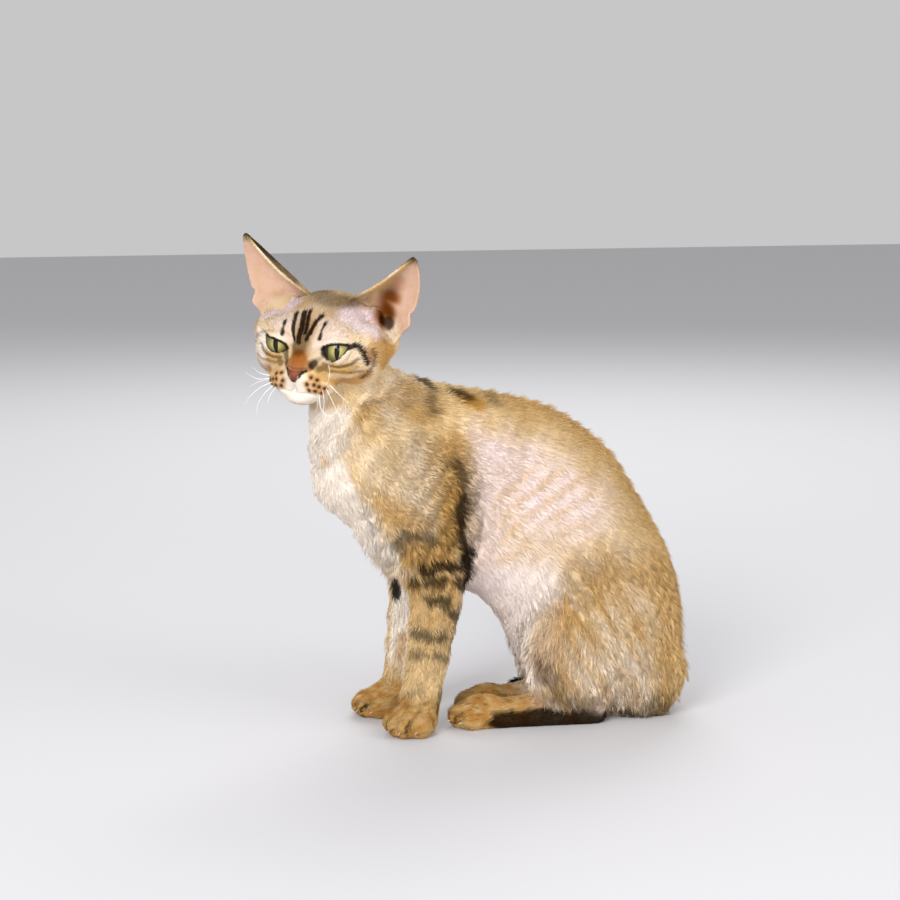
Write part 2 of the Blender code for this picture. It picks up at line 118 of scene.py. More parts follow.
def noise(points: Array, size: float, seed: int = 0) -> Array:
    """Smooth random numbers that vary over space.

    Args:
        points: The places, as rows of x, y and z.
        size: The width of one patch.
        seed: Which of the many patterns to use.

    Returns:
        Numbers from -1 to 1.
    """
    scaled = points / size
    low = np.floor(scaled).astype(np.int64)
    t = scaled - low
    t = t * t * (3 - 2 * t)
    total = np.zeros(len(points))
    for corner in np.ndindex(2, 2, 2):
        share = np.where(np.array(corner) == 1, t, 1 - t).prod(axis=1)
        total += share * lattice(low + np.array(corner), seed)
    return 2 * total - 1


def drift(points: Array, size: float, seed: int) -> Array:
    """Smooth random steps in three directions, from three patterns of noise."""
    return rows(*(noise(points, size, seed + i) for i in range(3)))


def waves(points: Array) -> Array:
    """The waves of the coat, from -1 in a trough to 1 on a crest."""
    across = points @ RIPPLE_WAY + 5 * noise(points, 22, 30)
    return np.sin(across * math.tau / RIPPLE)


def unit(vectors: Array) -> Array:
    """The vectors at length 1."""
    return vectors / np.maximum(np.linalg.norm(vectors, axis=-1, keepdims=True), 1e-9)


def smooth_path(points: Iterable[Point], steps: int, closed: bool = False) -> Array:
    """A smooth curve through points, by Catmull-Rom.

    Args:
        points: What the curve passes through.
        steps: How many points each stretch gets.
        closed: Whether the curve returns to its first point.

    Returns:
        The points of the curve, as rows.
    """
    line = np.array(list(points), float)
    if closed:
        line = np.vstack([line[-1:], line, line[:2]])
    else:
        line = np.vstack([2 * line[0] - line[1], line, 2 * line[-1] - line[-2]])
    found = []
    for i in range(1, len(line) - 2):
        before, start, end, after = line[i - 1 : i + 3]
        for t in np.linspace(0, 1, steps, endpoint=False):
            square = 2 * before - 5 * start + 4 * end - after
            cubic = 3 * (start - end) + after - before
            found.append(start + 0.5 * t * (end - before + t * (square + t * cubic)))
    if not closed:
        found.append(line[-2])
    return np.array(found)


def distance_to(points: Array, path: Array) -> Array:
    """How far each point is from a line through the path's points."""
    nearest = np.full(len(points), np.inf)
    if len(path) == 1:
        return np.linalg.norm(points - path[0], axis=1)
    for start, end in zip(path, path[1:]):
        way = end - start
        t = np.clip((points - start) @ way / max(way @ way, 1e-9), 0, 1)
        off = points - (start + t[:, None] * way)
        nearest = np.minimum(nearest, np.sqrt((off * off).sum(axis=1)))
    return nearest


def snapped(points: Array, tree: BVHTree) -> Array:
    """The nearest places of a surface."""
    return np.array([tree.find_nearest(p)[0] for p in points.tolist()])


@dataclass(frozen=True)
class Place:
    """A turned frame of its own, in millimetres of the whole model."""

    matrix: Matrix

    @property
    def turn(self) -> Array:
        """The rotation, as rows."""
        return np.array(self.matrix.to_3x3())

    @property
    def origin(self) -> Array:
        """The origin."""
        return np.array(self.matrix.to_translation())

    def inside(self, points: Array) -> Array:
        """The model's points in this frame."""
        return (points - self.origin) @ self.turn

    def outside(self, points: Array) -> Array:
        """This frame's points in the model."""
        return points @ self.turn.T + self.origin

    def inward(self, vectors: Array) -> Array:
        """The model's directions in this frame."""
        return vectors @ self.turn

    def outward(self, vectors: Array) -> Array:
        """This frame's directions in the model."""
        return vectors @ self.turn.T


def turned(angle: float, axis: str) -> Matrix:
    """A rotation by degrees about one axis."""
    return Matrix.Rotation(math.radians(angle), 4, axis)


def middle_of(node: str) -> Vector:
    """The middle of a node's box, in millimetres."""
    low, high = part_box(node)
    return (low + high) / (2 * MM)


HEAD_YAW, HEAD_PITCH, HEAD_ROLL = 52.0, 9.0, 6.5
EYE_RADIUS = 10.3
EYE_SPLAY, LID_SLANT = 13.0, 12.0
SIDES = {"left": -1, "right": 1}
# The head's frame has X to the cat's right, Y out of the face and Z up, midway between the eyes.
HEAD = Place(
    Matrix.Translation((middle_of("eye_left") + middle_of("eye_right")) / 2)
    @ turned(90 + HEAD_YAW, "Z")
    @ turned(-HEAD_PITCH, "X")
    @ turned(-HEAD_ROLL, "Y")
)
BODY_Y = (middle_of("thigh_left").y + middle_of("thigh_right").y) / 2


def mirrored(points: Array) -> Array:
    """The body's places on its other side."""
    return points * (1, -1, 1) + (0, 2 * BODY_Y, 0)


def eye_place(side: int) -> Place:
    """An eye's frame: Y looks out, and X lies along the slit of the lids."""
    middle = Matrix.Translation(middle_of("eye_left" if side < 0 else "eye_right"))
    head = HEAD.matrix.to_3x3().to_4x4()
    return Place(middle @ head @ turned(-EYE_SPLAY * side, "Z") @ turned(-LID_SLANT * side, "Y"))


class Tint(IntEnum):
    """What a mark does to the coat, by the channel that holds it."""

    DARK = 0
    RUFOUS = 1
    PALE = 2
    GOLD = 3
    PINK = 4
    GREY = 5


@dataclass(frozen=True)
class Mark:
    """One stripe or spot of the coat.

    The path runs through points of the head's frame or the body's, and half_width is how far
    the mark reaches from it before it fades over the softness. A paired mark has a twin on the
    other side.
    """

    tint: Tint
    path: tuple[Point, ...]
    half_width: float
    softness: float
    strength: float
    paired: bool = False


def painted(tint: Tint, paired: bool, *drawn: tuple) -> list[Mark]:
    """Marks of one tint.

    Args:
        tint: The tint.
        paired: Whether each has a twin.
        drawn: For each its half width, its softness, its strength and the points of its path.

    Returns:
        The marks.
    """
    return [Mark(tint, row[3:], *row[:3], paired) for row in drawn]


HEAD_MARKS = painted(
    Tint.DARK, False,
    (1, 0.9, 1, (10.8, -1.4, 19.9), (9.3, 7.4, 10.5), (6.4, 13.2, 5.2)),
    (1.5, 1.2, 1, (5.4, -1.3, 21.5), (3.3, 7.4, 11.5), (1.8, 13.6, 4.8)),
    (1.1, 0.9, 1, (-7.8, -1.2, 20.6), (-4.4, 3.8, 15.1), (-3.2, 13, 6.9)),
    (1, 0.8, 1, (-11.9, 1.7, 16.2), (-10.5, 8.1, 7.2)),
    (1.1, 0.8, 1, (16.2, 5.5, 15.2), (16.8, 7.1, 6.4)),
    (1, 0.9, 1, (1.6, -3, 22.6), (0.4, 4.5, 14.4), (-0.6, 9.5, 9)),
    (3.2, 4.5, 0.6, (0.3, 14, 6), (1.6, 16, 1)),
    (1.3, 1.4, 1, (-30, 4.6, 3.8), (-35.2, 1.6, 3.9), (-39.6, -0.4, -2.2), (-41.2, -3, -8.2)),
    (0.5, 1, 0.6, (30, 4.6, 3.8), (35.2, 1.6, 3.9), (39.6, -0.4, -2.2)),
    (0.8, 1.6, 0.75, (-44.5, -4.1, 0.8), (-44.6, -7.4, -6.1), (-42.6, -4.6, -13.3),
     (-37.3, -0.4, -17.9)),
    (1.4, 2.4, 0.95, (-10.6, 14.8, -7), (-9.6, 16.8, -9.2)),
    (0.6, 2.2, 0.5, (-13.2, 12.5, -3), (-10.9, 14.3, -6)),
    (0.9, 2, 0.75, (13.4, 12, -3.4), (11.6, 14.6, -6.2), (9.6, 17, -9.6)),
    (5, 8, 0.5, (7.6, -30.6, 28.2), (-5.2, -19.2, 27.1), (-13.1, -26.1, 26.6)),
) + painted(
    Tint.DARK, True,
    (0.4, 1.1, 0.7, (-15.3, 11.7, -8.2), (-24.7, 8, -10), (-31.7, 4.3, -8), (-35.4, 1.4, -4.4)),
    (0.3, 1.4, 0.5, (-17.7, 13.3, -11.9), (-29.6, 7.4, -13.2), (-37.6, -0.3, -13.2)),
    (0.4, 0.8, 0.4, (-7.6, 19.6, -10.9), (-3.5, 23, -10.4), (0, 23.6, -10.9)),
    (1, 2.5, 0.6, (-14, 15.5, -11), (-18, 13, -9.5)),
) + painted(
    Tint.GREY, False,
    (4, 7, 0.8, (0.5, 6, 14), (0.5, 12, 8), (0.5, 16, 1)),
    (3.5, 5, 0.3, (-17, 13, -10), (-32, 5, -11)),
    (7, 7, 0.7, (10, -12, 27), (-2, -12, 27), (-12, -10, 26)),
    (22, 14, 0.6, (0, -25, 28), (0, -50, 22), (0, -64, 0)),
) + painted(
    Tint.GREY, True,
    (4, 7, 0.25, (-17, 3, 15), (-27, 0, 13)),
) + painted(
    Tint.RUFOUS, False,
    (4.2, 3.5, 0.9, (0, 19, -4), (-1, 22, -8.5)),
) + painted(
    Tint.RUFOUS, True,
    (3, 2.5, 0.8, (-7, 19, -9)),
    (1.8, 3.4, 0.3, (-22.3, 9.6, -18.3), (-31.4, 0.2, -20.4), (-40.6, -2.8, -15.6)),
    (1.2, 2.2, 0.5, (-41, -1.5, 1), (-43, -4, -6)),
) + painted(
    Tint.GOLD, False,
    (26, 14, 0.6, (0, -25, 28), (0, -50, 22), (0, -64, 0)),
) + painted(
    Tint.GOLD, True,
    (2.5, 5, 0.8, (-22.3, 9.6, -18.3), (-31.4, 0.2, -20.4), (-40.6, -2.8, -15.6)),
    (5, 5, 0.8, (-18, 14, -13), (-32, 5, -14)),
    (8, 6, 0.9, (-46, -12, 2), (-47, -20, -6)),
) + painted(
    Tint.PALE, False,
    (13, 5, 1, (0, 20, -33), (0, 5, -40)),
) + painted(
    Tint.PALE, True,
    (5, 3.5, 0.8, (-6, 24, -21), (-12, 21.5, -24.5)),
    (3, 3.5, 0.7, (-19, 19, -24)),
    (2, 2, 0.55, (-24.5, 9, -4.8), (-32, 5, -2)),
    (1.2, 2.6, 0.45, (-9.5, 12, 4), (-14.5, 12.5, 5.4), (-21, 11.5, 8)),
    (0.4, 2.4, 0.4, (-20, 12, -16), (-30, 5.5, -16.5), (-36, 1, -12)),
    (0.5, 1.2, 0.7, (26, -26, 34), (40, -25.5, 43.7), (51, -24.4, 54)),
    (4, 6, 0.3, (-17, 3, 15), (-27, 0, 13), (-39, -9, 10)),
) + painted(
    Tint.PINK, False,
    (6, 10, 0.45, (17, 5, 13), (0, 9, 10), (-17, 5, 13)),
) + painted(
    Tint.PINK, True,
    (2, 10, 1, (-20, -14, 19), (-25, -24, 18), (-31, -30, 16)),
    (2, 10, 1, (-22, -10, 18.5), (-32, -16, 18.5), (-40, -20, 16.5)),
    (3, 6, 0.9, (-30, -8, 16), (-41.5, -13, 12.5)),
) + painted(
    Tint.GOLD, False,
    (4.5, 6, 0.9, (0.5, 6, 14), (0.5, 12, 8), (0.5, 18, -2)),
# The right cheek's pale colour, made stronger and wider as painted light.
) + painted(
    Tint.PALE, False,
    (5, 7, 0.9, (36, 0, -2), (40, -4, -10), (34, 2, -14)),
)
# Painted shade inside the left ear, round its canal and down its hollow, on this ear only.
LEFT_EAR_SHADE = painted(
    Tint.RUFOUS, False,
    (3, 9, 1, (-36, -39, 14), (-38.5, -41.5, 20), (-41, -40.1, 28.4)),
    (1, 9, 0.5, (-40, -40.1, 26), (-43, -38.4, 35.6), (-47, -36.5, 43)),
) + painted(
    Tint.DARK, False,
    (1, 11, 0.55, (-36, -42, 13), (-38, -42, 22), (-41, -40, 32)),
    (2.5, 3.5, 0.9, (-34.8, -38.7, 13), (-38, -44, 11), (-41.5, -41.5, 9)),
)
WHISKER_ROWS = [
    [(-10.6, 19.9, -16.6), (-14.9, 19.6, -17.4)],
    [(-8.8, 21.9, -20.6), (-13.7, 21.4, -20.6), (-17.2, 21.1, -21.5), (-20.8, 19.3, -22.9)],
    [(-10.2, 21.5, -24.6), (-14.5, 21.2, -25.1), (-18.6, 19.6, -26.6)],
]
WHISKER_SPOT = (
    (Tint.DARK, 0.8, 0.9, 0.9), (Tint.RUFOUS, 1.4, 1.7, 0.6), (Tint.GOLD, 2.2, 2.6, 0.6)
)

# Marks of the body are placed on its left, and a paired one has its twin on the right.
BODY_MARKS = painted(
    Tint.DARK, False,
    (3.4, 2, 1, (-54, 9, 98), (-54, 9, 88)),
    (2, 6, 0.4, (44, -60, 22), (76, -60, 17)),
    (4.5, 4.5, 1, (4, -60, 3), (19, -58, 4), (36, -58, 6), (50, -60, 7), (62, -60, 5), (76, -60, 2),
     (90, -58, 1)),
    (3.5, 2.5, 1, (8, -60, 0), (30, -58, 0), (50, -60, 0), (70, -60, 0), (92, -57, 0)),
    # Painted shade low along the inner side of the right hind foot.
    (4, 2, 0.9, (-10, -14, 3), (20, -10, 3), (60, -10, 3)),
    (12, 8, 1, (60, 60, 6), (34, 38, 5)),
) + painted(
    Tint.DARK, True,
    (2, 5, 0.75, (-27, -52, 190), (-24, -52, 178), (-22, -52, 168)),
    (1.8, 5.5, 0.95, (-23, -52, 168), (-25, -53, 155), (-25, -53, 142), (-21, -51, 130)),
    (2.3, 3.4, 0.95, (-52, -56, 122), (-39, -57, 122), (-22, -50, 119)),
    (1.8, 3.6, 0.7, (-72, -50, 138), (-65, -54, 143), (-53, -57, 143), (-42, -57, 138)),
    (3.2, 4.5, 1, (-19, -50, 128), (-18, -45, 116), (-20, -42, 104)),
    (2.4, 3.2, 0.85, (-57, -50, 110), (-49, -55, 112), (-40, -56, 111)),
    (2.2, 3.5, 0.9, (-27, -53, 108), (-20, -46, 103)),
    (2.8, 3.4, 0.85, (-47, -54, 97), (-40, -56, 97), (-33, -55, 95)),
    (2.8, 4, 0.8, (-30, -54, 87), (-21, -44, 84)),
    (1.9, 3.6, 0.75, (-57, -44, 73), (-50, -51, 72), (-43, -53, 69), (-35, -53, 70)),
    (1.6, 3.2, 0.55, (-56, -46, 57), (-49, -51, 57)),
    (1.8, 3.4, 0.65, (-41, -52, 56), (-31, -47, 54)),
    (1.2, 3.6, 0.4, (-59, -46, 31), (-50, -51, 31)),
    (1.6, 3.5, 0.6, (-35, -46, 31), (-38, -46, 16)),
    (1.6, 4, 0.5, (-24, -44, 60), (-27, -43, 90)),
    (3, 5, 0.85, (-44, -17, 245), (-38, -24, 240)),
    (1.5, 4, 0.55, (-35, -24, 241), (-39, -35, 232), (-40, -40, 224)),
    (3, 4.5, 0.85, (-21, -24, 236), (-12, -28, 232)),
    (2, 5, 0.45, (4, -20, 234), (8, -28, 228)),
    # Painted shade along a fold of the neck.
    (0.8, 2.2, 0.45, (-78, -42, 237), (-90, -40, 228)),
    # Darker colour and painted shade along the lower edge of the haunch.
    (2, 7, 0.5, (112, -60, 12), (138, -54, 10)),
    (1.8, 3.4, 0.6, (31, -56, 51), (37, -59, 48)),
    (1.6, 5, 0.45, (36, -58, 40), (44, -60, 37), (46, -60, 26)),
    (3, 4, 0.9, (58, -61, 12), (76, -60, 6), (96, -56, 2), (130, -50, 2)),
    # Darker colour and painted shade along the lower edge of the haunch.
    (3, 5, 0.55, (114, -60, 15)),
) + painted(
    Tint.GOLD, False,
    (3, 4, 0.8, (-50, 2, 57), (-53, 3, 45)),
    (2.5, 4, 0.7, (-114, -27, 193)),
) + painted(
    Tint.GOLD, True,
    (4, 7, 0.9, (-30, -52, 172), (-34, -53, 155), (-34, -53, 138)),
    (4.5, 5.5, 1, (-14, -29, 230), (-5, -32, 228)),
    (9, 12, 0.5, (-62, -33, 240), (-46, -38, 230)),
    # Painted shade along a fold of the neck.
    (1.2, 4, 0.7, (-84, -42, 232), (-93, -40, 222)),
    (5, 9, 0.6, (-74, -50, 162), (-58, -54, 150)),
    (6, 8, 0.8, (-60, -54, 132), (-40, -55, 130)),
    (6, 12, 0.7, (-28, -52, 200), (-30, -52, 175), (-34, -54, 150)),
    (4, 10, 0.5, (75, -60, 110), (92, -60, 108), (104, -59, 102)),
    (3, 10, 0.4, (60, -60, 92), (78, -61, 96), (96, -61, 92)),
    (6, 16, 0.6, (120, -50, 112), (138, -45, 90), (146, -40, 60), (146, -42, 25)),
    (5, 15, 0.7, (42, -58, 80), (38, -58, 60), (46, -60, 36)),
) + painted(
    Tint.GREY, False,
    (12, 6, 0.8, (118, 57, 8), (140, 43, 9), (149, 21, 12)),
) + painted(
    Tint.GREY, True,
    (9, 12, 0.5, (-62, -33, 240), (-46, -38, 230)),
    (6, 14, 0.35, (-70, -38, 222), (-56, -42, 205)),
    # Darker colour and painted shade along the lower edge of the haunch.
    (6, 10, 0.35, (100, -60, 20), (138, -54, 16)),
) + painted(
    Tint.RUFOUS, True,
    (1.5, 5.5, 0.2, (-14, -29, 230), (-5, -32, 228)),
    (3, 6, 0.35, (31, -56, 52), (36, -58, 44)),
)
BACK_LINE = smooth_path(
    [(-74, 264), (-54, 249), (-26, 240), (-4, 236), (20, 231), (53, 221), (80, 204), (100, 186),
     (117, 159), (134, 132), (146, 105), (152, 80), (153, 46), (152, 16)], 3
)
BIB_EDGE = [(120, -60), (144, -75), (164, -87), (185, -98), (206, -101), (225, -98), (260, -104)]
HAUNCH_AT = ((86, 56), (62, 66))


class Markings:
    """The pattern that the skin and the coat share."""

    def __init__(self, tree: BVHTree) -> None:
        """Lays every mark's path on the skin, whose triangles the tree holds."""
        spots = [
            Mark(tint, (spot,), wide, soft, strength, True)
            for row in WHISKER_ROWS for spot in row
            for tint, wide, soft, strength in WHISKER_SPOT
        ]
        face = HEAD_MARKS + MOUTH_MARKS + spots + lid_marks()
        self.head, self.hollow = (
            [(mark, HEAD.inside(line)) for mark, line in self.laid(
                marks, tree, HEAD.outside, lambda p: HEAD.outside(p * (-1, 1, 1)))]
            for marks in (face, LEFT_EAR_SHADE)
        )
        self.body = self.laid(BODY_MARKS + toe_gap_shade(), tree, np.copy, mirrored)

    def laid(self, marks: list[Mark], tree: BVHTree, own: Move,
             twin: Move) -> list[tuple[Mark, Array]]:
        """Marks with their paths, and once more with their twins' paths, on the skin.

        Args:
            marks: The marks.
            tree: The skin.
            own: What takes a path to the model.
            twin: What takes a path to the model's other side.

        Returns:
            Each mark with a path in the model's frame.
        """
        found = []
        for mark in marks:
            path = np.array(mark.path, float)
            if len(path) > 2:
                path = smooth_path(path, 4)
            for way in (own, twin) if mark.paired else (own,):
                found.append((mark, snapped(way(path), tree)))
        return found

    def at(self, points: Array, normals: Array) -> Array:
        """How strong each tint is.

        Args:
            points: Places on the cat.
            normals: The way that the surface faces there.

        Returns:
            A row of six numbers from 0 to 1 for each place, in the order of Tint.
        """
        local = HEAD.inside(points)
        head = ramp(np.linalg.norm((local - (0, -25, -2)) / (52, 52, 46), axis=1), 1.12, 0.96)
        head = np.maximum(head, ramp(local[:, 2], 22, 28))
        head = np.maximum(head, ramp(local[:, 1], 8, 14) * ramp(local[:, 2], -40, -34))
        ragged = points + 1.3 * drift(points, 2.5, 1) + 2.0 * drift(points, 7, 16)
        found = self.zones(points, normals, head, local)
        for mark, line in self.body:
            self.add(found, mark, line, ragged, 1 - head)
        near = np.flatnonzero(head > 0)
        part, head, local = found[near], head[near], local[near]
        opens = into_ear(local, HEAD.inward(normals[near]))
        self.ears(part, local, opens)
        ragged = local + 0.35 * drift(local, 1.4, 4)
        for mark, line in self.head:
            self.add(part, mark, line, ragged, head)
        # Painted shade in the left ear's hollow, kept to the side that faces the way that the ear
        # opens.
        shaded = part.copy()
        for mark, line in self.hollow:
            self.add(shaded, mark, line, local, head)
        part += ramp(opens, -0.1, 0.3)[:, None] * (shaded - part)
        found[near] = part
        return np.clip(found, 0, 1)

    def ears(self, found: Array, local: Array, opens: Array) -> None:
        """Darkens the backs and the tips of the ears, and paints shade in gold over the left ear.

        Args:
            found: The rows of tints, which are changed.
            local: Places in the head's frame.
            opens: How squarely they face the way that the ears open.
        """
        x, _, z = local.T
        ear = np.maximum(ramp(z, 27, 34), ramp(np.abs(x), 48, 54) * ramp(z, -4, 6))
        back = ear * ramp(opens, 0.15, -0.2)
        tip = ramp(z, 55, 63)
        dark = back * (0.55 + 0.35 * ramp(z, 30, 55) + 0.15 * noise(local, 6, 12))
        found *= 1 - 0.8 * (ear * ramp(z, 27, 40))[:, None]
        # The gold over the left ear alone is painted shade.
        left = 1 - ramp(np.sign(x), -1, 1)
        for tint, amount in ((Tint.DARK, np.maximum(dark, tip)), (Tint.GREY, back),
                             (Tint.GOLD, ear * 0.5 * left)):
            found[:, tint] = np.maximum(found[:, tint], amount)

    def add(self, found: Array, mark: Mark, line: Array, points: Array, share: Array) -> None:
        """Draws one mark into the tints found so far.

        Args:
            found: The rows of tints, which are changed.
            mark: The mark to draw.
            line: Its path.
            points: Places in the path's frame.
            share: How much of a mark each place may take.
        """
        reach = mark.half_width + mark.softness
        low, high = line.min(axis=0) - reach, line.max(axis=0) + reach
        near = np.flatnonzero(((points > low) & (points < high)).all(axis=1) & (share > 0))
        far = distance_to(points[near], line)
        amount = ramp(far, reach, mark.half_width) * mark.strength * share[near]
        found[near, mark.tint] = np.maximum(found[near, mark.tint], amount)
        if mark.tint is Tint.GOLD:
            found[near, Tint.PALE] *= 1 - 0.85 * amount
            found[near, Tint.PINK] *= 1 - 0.85 * amount

    def zones(self, points: Array, normals: Array, head: Array, local: Array) -> Array:
        """The broad colours of the trunk, the legs, the feet and the head.

        Args:
            points: Places on the cat.
            normals: The way that the surface faces there.
            head: How much each place belongs to the head.
            local: The places in the head's frame.

        Returns:
            A row of six numbers for each place, in the order of Tint.
        """
        x, y, z = points.T
        body = 1 - head
        blotch, fine = noise(points, 14, 8), noise(points, 5, 9)
        streak = noise(rows(0.87 * x + 0.5 * z, 0.3 * y, 0.12 * (z - x)), 4.5, 19)
        below = distance_to(points[:, [0, 2]], BACK_LINE) + 4 * blotch
        edge = np.interp(z, *zip(*BIB_EDGE)) + 5 * fine
        bib = ramp(x, edge + 5, edge - 5) * ramp(z, 112, 128)
        inner = ramp(-np.sign(y - BODY_Y) * normals[:, 1], -0.1, 0.5)
        leg = ramp(x, -8, -18) * ramp(z, 128, 112) * ramp(z, 26, 36)
        under = ramp(-normals[:, 2], 0.35, 0.8) * ramp(z, 20, 60)
        (hx, hz), (hr, hh) = HAUNCH_AT
        haunch = np.hypot((x - hx) / hr, (z - hz) / hh) + 0.12 * blotch + 0.06 * fine
        haunch = ramp(haunch, 1.35, 0.65) * ramp(x, 14, 34)
        crest = waves(points)
        shoulder = ramp(x, -85, -28) * ramp(x, -4, -18) * ramp(z, 116, 135) * ramp(z, 212, 185)
        groin = ramp(x, 54, 38) * ramp(x, -12, 8) * ramp(z, 130, 100) * ramp(z, 26, 38)
        trunk = ramp(x, -30, -4) * (1 - haunch) * body * ramp(z, 26, 40)
        trunk *= 1 - 0.6 * ramp(x, 55, 105)
        trunk *= 1 - 0.6 * ramp(x, 24, 60) * ramp(z, 135, 100)
        trunk *= 1 - 0.45 * ramp(z, 165, 120) * ramp(x, -10, 15)
        arcs = np.sin((0.86 * z - 0.5 * x + 6 * noise(points, 24, 13)) * math.tau / 12.5)
        arcs = 0.75 * ramp(arcs, -0.5, 1.0) * ramp(x, -6, 8) * ramp(x, 92, 60) * ramp(z, 108, 120)
        arcs *= ramp(z, 192, 170) * trunk * np.clip(0.75 + 0.6 * noise(points, 12, 14), 0, 1)
        feet = ramp(z, 32, 20) * ramp(x, 96, 80)
        pale = body * np.maximum.reduce(
            [bib, inner * leg * ramp(z, 32, 46), 0.85 * under, groin * (1 - 0.1 * haunch)])
        pale += trunk * ramp(below, 10, 45) * (0.28 + 0.25 * streak)
        creamy = np.maximum.reduce([
            haunch * (0.15 - 0.2 * blotch + 0.4 * streak + 0.3 * ramp(z, 90, 30)
                      - 0.5 * ramp(x, 105, 125)),
            ramp(x, -30, -60) * ramp(z, 125, 150) * (0.25 - 0.4 * blotch),
            0.1 * head * ramp(local[:, 1], -6, 6)])
        pale = np.maximum(pale * (1 - 0.85 * arcs), np.clip(creamy, 0, 1))
        pink = trunk * ramp(below, 12, 42) * (0.72 + 0.3 * blotch) * (1 - 0.9 * arcs)
        gold = np.maximum.reduce([
            haunch * (0.25 + 0.3 * blotch - 0.4 * streak), 0.9 * arcs,
            0.5 * haunch * ramp(x, 100, 125), shoulder * (0.55 - 0.4 * crest),
            ramp(below, 24, 2) * ramp(x, -40, 40) * 0.6,
            leg * (1 - inner) * (ramp(z, 40, 115) * 0.6 + 0.3 * fine),
            feet * (0.75 + 0.4 * fine)])
        gold = np.maximum(gold * body, head * (0.16 + 0.25 * fine))
        rufous = feet * (0.1 + 0.3 * fine)
        ticks = feet * 0.45 * ramp(noise(points * (1, 1, 2), 3.5, 15), 0.1, 0.8)
        dark = np.maximum(ticks, shoulder * (0.24 - 0.35 * crest + 0.2 * fine))
        grey = np.maximum.reduce([
            0.3 * feet, 0.26 * ramp(x, 0, 30) * ramp(z, 20, 60) * (1 - haunch),
            ramp(below, 16, 0) * (0.5 + 0.3 * blotch)])
        return rows(dark * body, rufous * body, pale, gold, pink, grey * body)


@dataclass(frozen=True)
class Fur:
    """The coat on one part of the body.

    depth is how far the skin lies inside the solid, length and half_width are a tuft's, lift is
    how far its tip stands off the skin, and wave is how far it curls sideways. tufts is how many
    there are, which gather by a share into locks that are lock apart. ripple is how much the
    lift changes from wave to wave of the coat.
    """

    depth: float
    length: float
    half_width: float
    lift: float
    wave: float
    tufts: int
    lock: float
    gather: float
    ripple: float


FURS = {
    "head": Fur(0.7, 3.4, 0.15, 12, 0.2, 30000, 1.8, 0.35, 0),
    "ear_left": Fur(0, 2, 0.1, 9, 0.1, 6000, 2, 0.3, 0),
    "ear_right": Fur(0, 2, 0.1, 9, 0.1, 5000, 2, 0.3, 0),
    "neck": Fur(1.8, 6, 0.17, 14, 0.7, 8500, 3.2, 0.5, 0.7),
    "chest": Fur(1.8, 6, 0.17, 12, 0.7, 14500, 3.2, 0.4, 0.6),
    "belly": Fur(1.3, 5, 0.16, 9, 0.5, 12000, 3, 0.3, 0.5),
    "rump": Fur(1.6, 6, 0.18, 14, 0.6, 9500, 3.2, 0.4, 0.6),
    "shoulder_left": Fur(2, 8, 0.2, 16, 1.1, 9500, 4, 0.65, 1),
    "shoulder_right": Fur(2, 8, 0.22, 16, 1.1, 5500, 4, 0.65, 1),
    "foreleg_left": Fur(1.6, 6, 0.17, 16, 0.6, 7000, 3, 0.5, 0.6),
    "foreleg_right": Fur(1.6, 6, 0.18, 16, 0.6, 5000, 3, 0.5, 0.6),
    "forepaw_left": Fur(0.9, 3.2, 0.13, 10, 0.1, 4000, 1.8, 0.3, 0),
    "forepaw_right": Fur(0.9, 3.2, 0.14, 10, 0.1, 3000, 1.8, 0.3, 0),
    "thigh_left": Fur(2, 11, 0.23, 14, 1.4, 10000, 4.5, 0.65, 1),
    "thigh_right": Fur(2, 11, 0.26, 14, 1.4, 5500, 4.5, 0.65, 1),
    "hindfoot_left": Fur(1, 3.8, 0.15, 10, 0.2, 4500, 2.2, 0.35, 0),
    "hindfoot_right": Fur(1, 3.8, 0.16, 10, 0.2, 3500, 2.2, 0.35, 0),
    "tail_base": Fur(1.4, 5.5, 0.18, 12, 0.4, 1500, 3, 0.4, 0.3),
    "tail_middle": Fur(1.4, 5.5, 0.18, 12, 0.4, 2000, 3, 0.4, 0.3),
    "tail_tip": Fur(1.3, 5.5, 0.18, 12, 0.4, 1300, 3, 0.4, 0.3),
}
EYES = ("eye_left", "eye_right")


# The lie of the coat in the side view: at an x and a z, how far the hair runs along each.
COMB = np.array([
    (-70, 262, 1, -0.1), (-60, 245, 1, -0.5), (-88, 235, 0.8, -0.7), (-112, 228, 0.1, -1),
    (-116, 200, 0.1, -1), (-105, 165, 0.5, -1), (-80, 140, 0.7, -0.8), (-80, 190, 0.6, -0.8),
    (-50, 210, 0.8, -0.5), (-50, 175, 0.8, -0.6), (-35, 150, 0.7, -0.8), (-20, 230, 1, -0.15),
    (20, 225, 1, -0.25), (60, 205, 1, -0.5), (100, 170, 0.7, -0.75), (132, 118, 0.4, -1),
    (146, 60, 0.1, -1), (20, 180, 0.9, -0.5), (10, 130, 0.9, -0.7), (60, 140, 0.8, -0.7),
    (90, 115, 0.6, -0.8), (60, 90, 0.5, -0.9), (95, 60, 0.4, -1), (120, 30, 0.2, -1),
    (85, 15, 0.3, -1), (40, 60, -0.2, -1), (35, 35, 0.3, -1), (-50, 125, 0.35, -1),
    (-38, 95, 0.2, -1), (-40, 60, 0.15, -1), (-45, 30, -0.05, -1),
])
COMB_REACH = 12.0
# The waves of the coat: the way that they follow each other, and how far apart they are.
RIPPLE_WAY = np.array((0.84, 0.0, -0.54))
RIPPLE = 11.0
# The middle line of the tail, from its root to its tip.
TAIL_LINE = [(140, -3, 15), (149, 21, 12), (142, 43, 9), (118, 57, 8), (90, 60, 7), (64, 55, 7),
             (44, 45, 6), (34, 38, 5)]
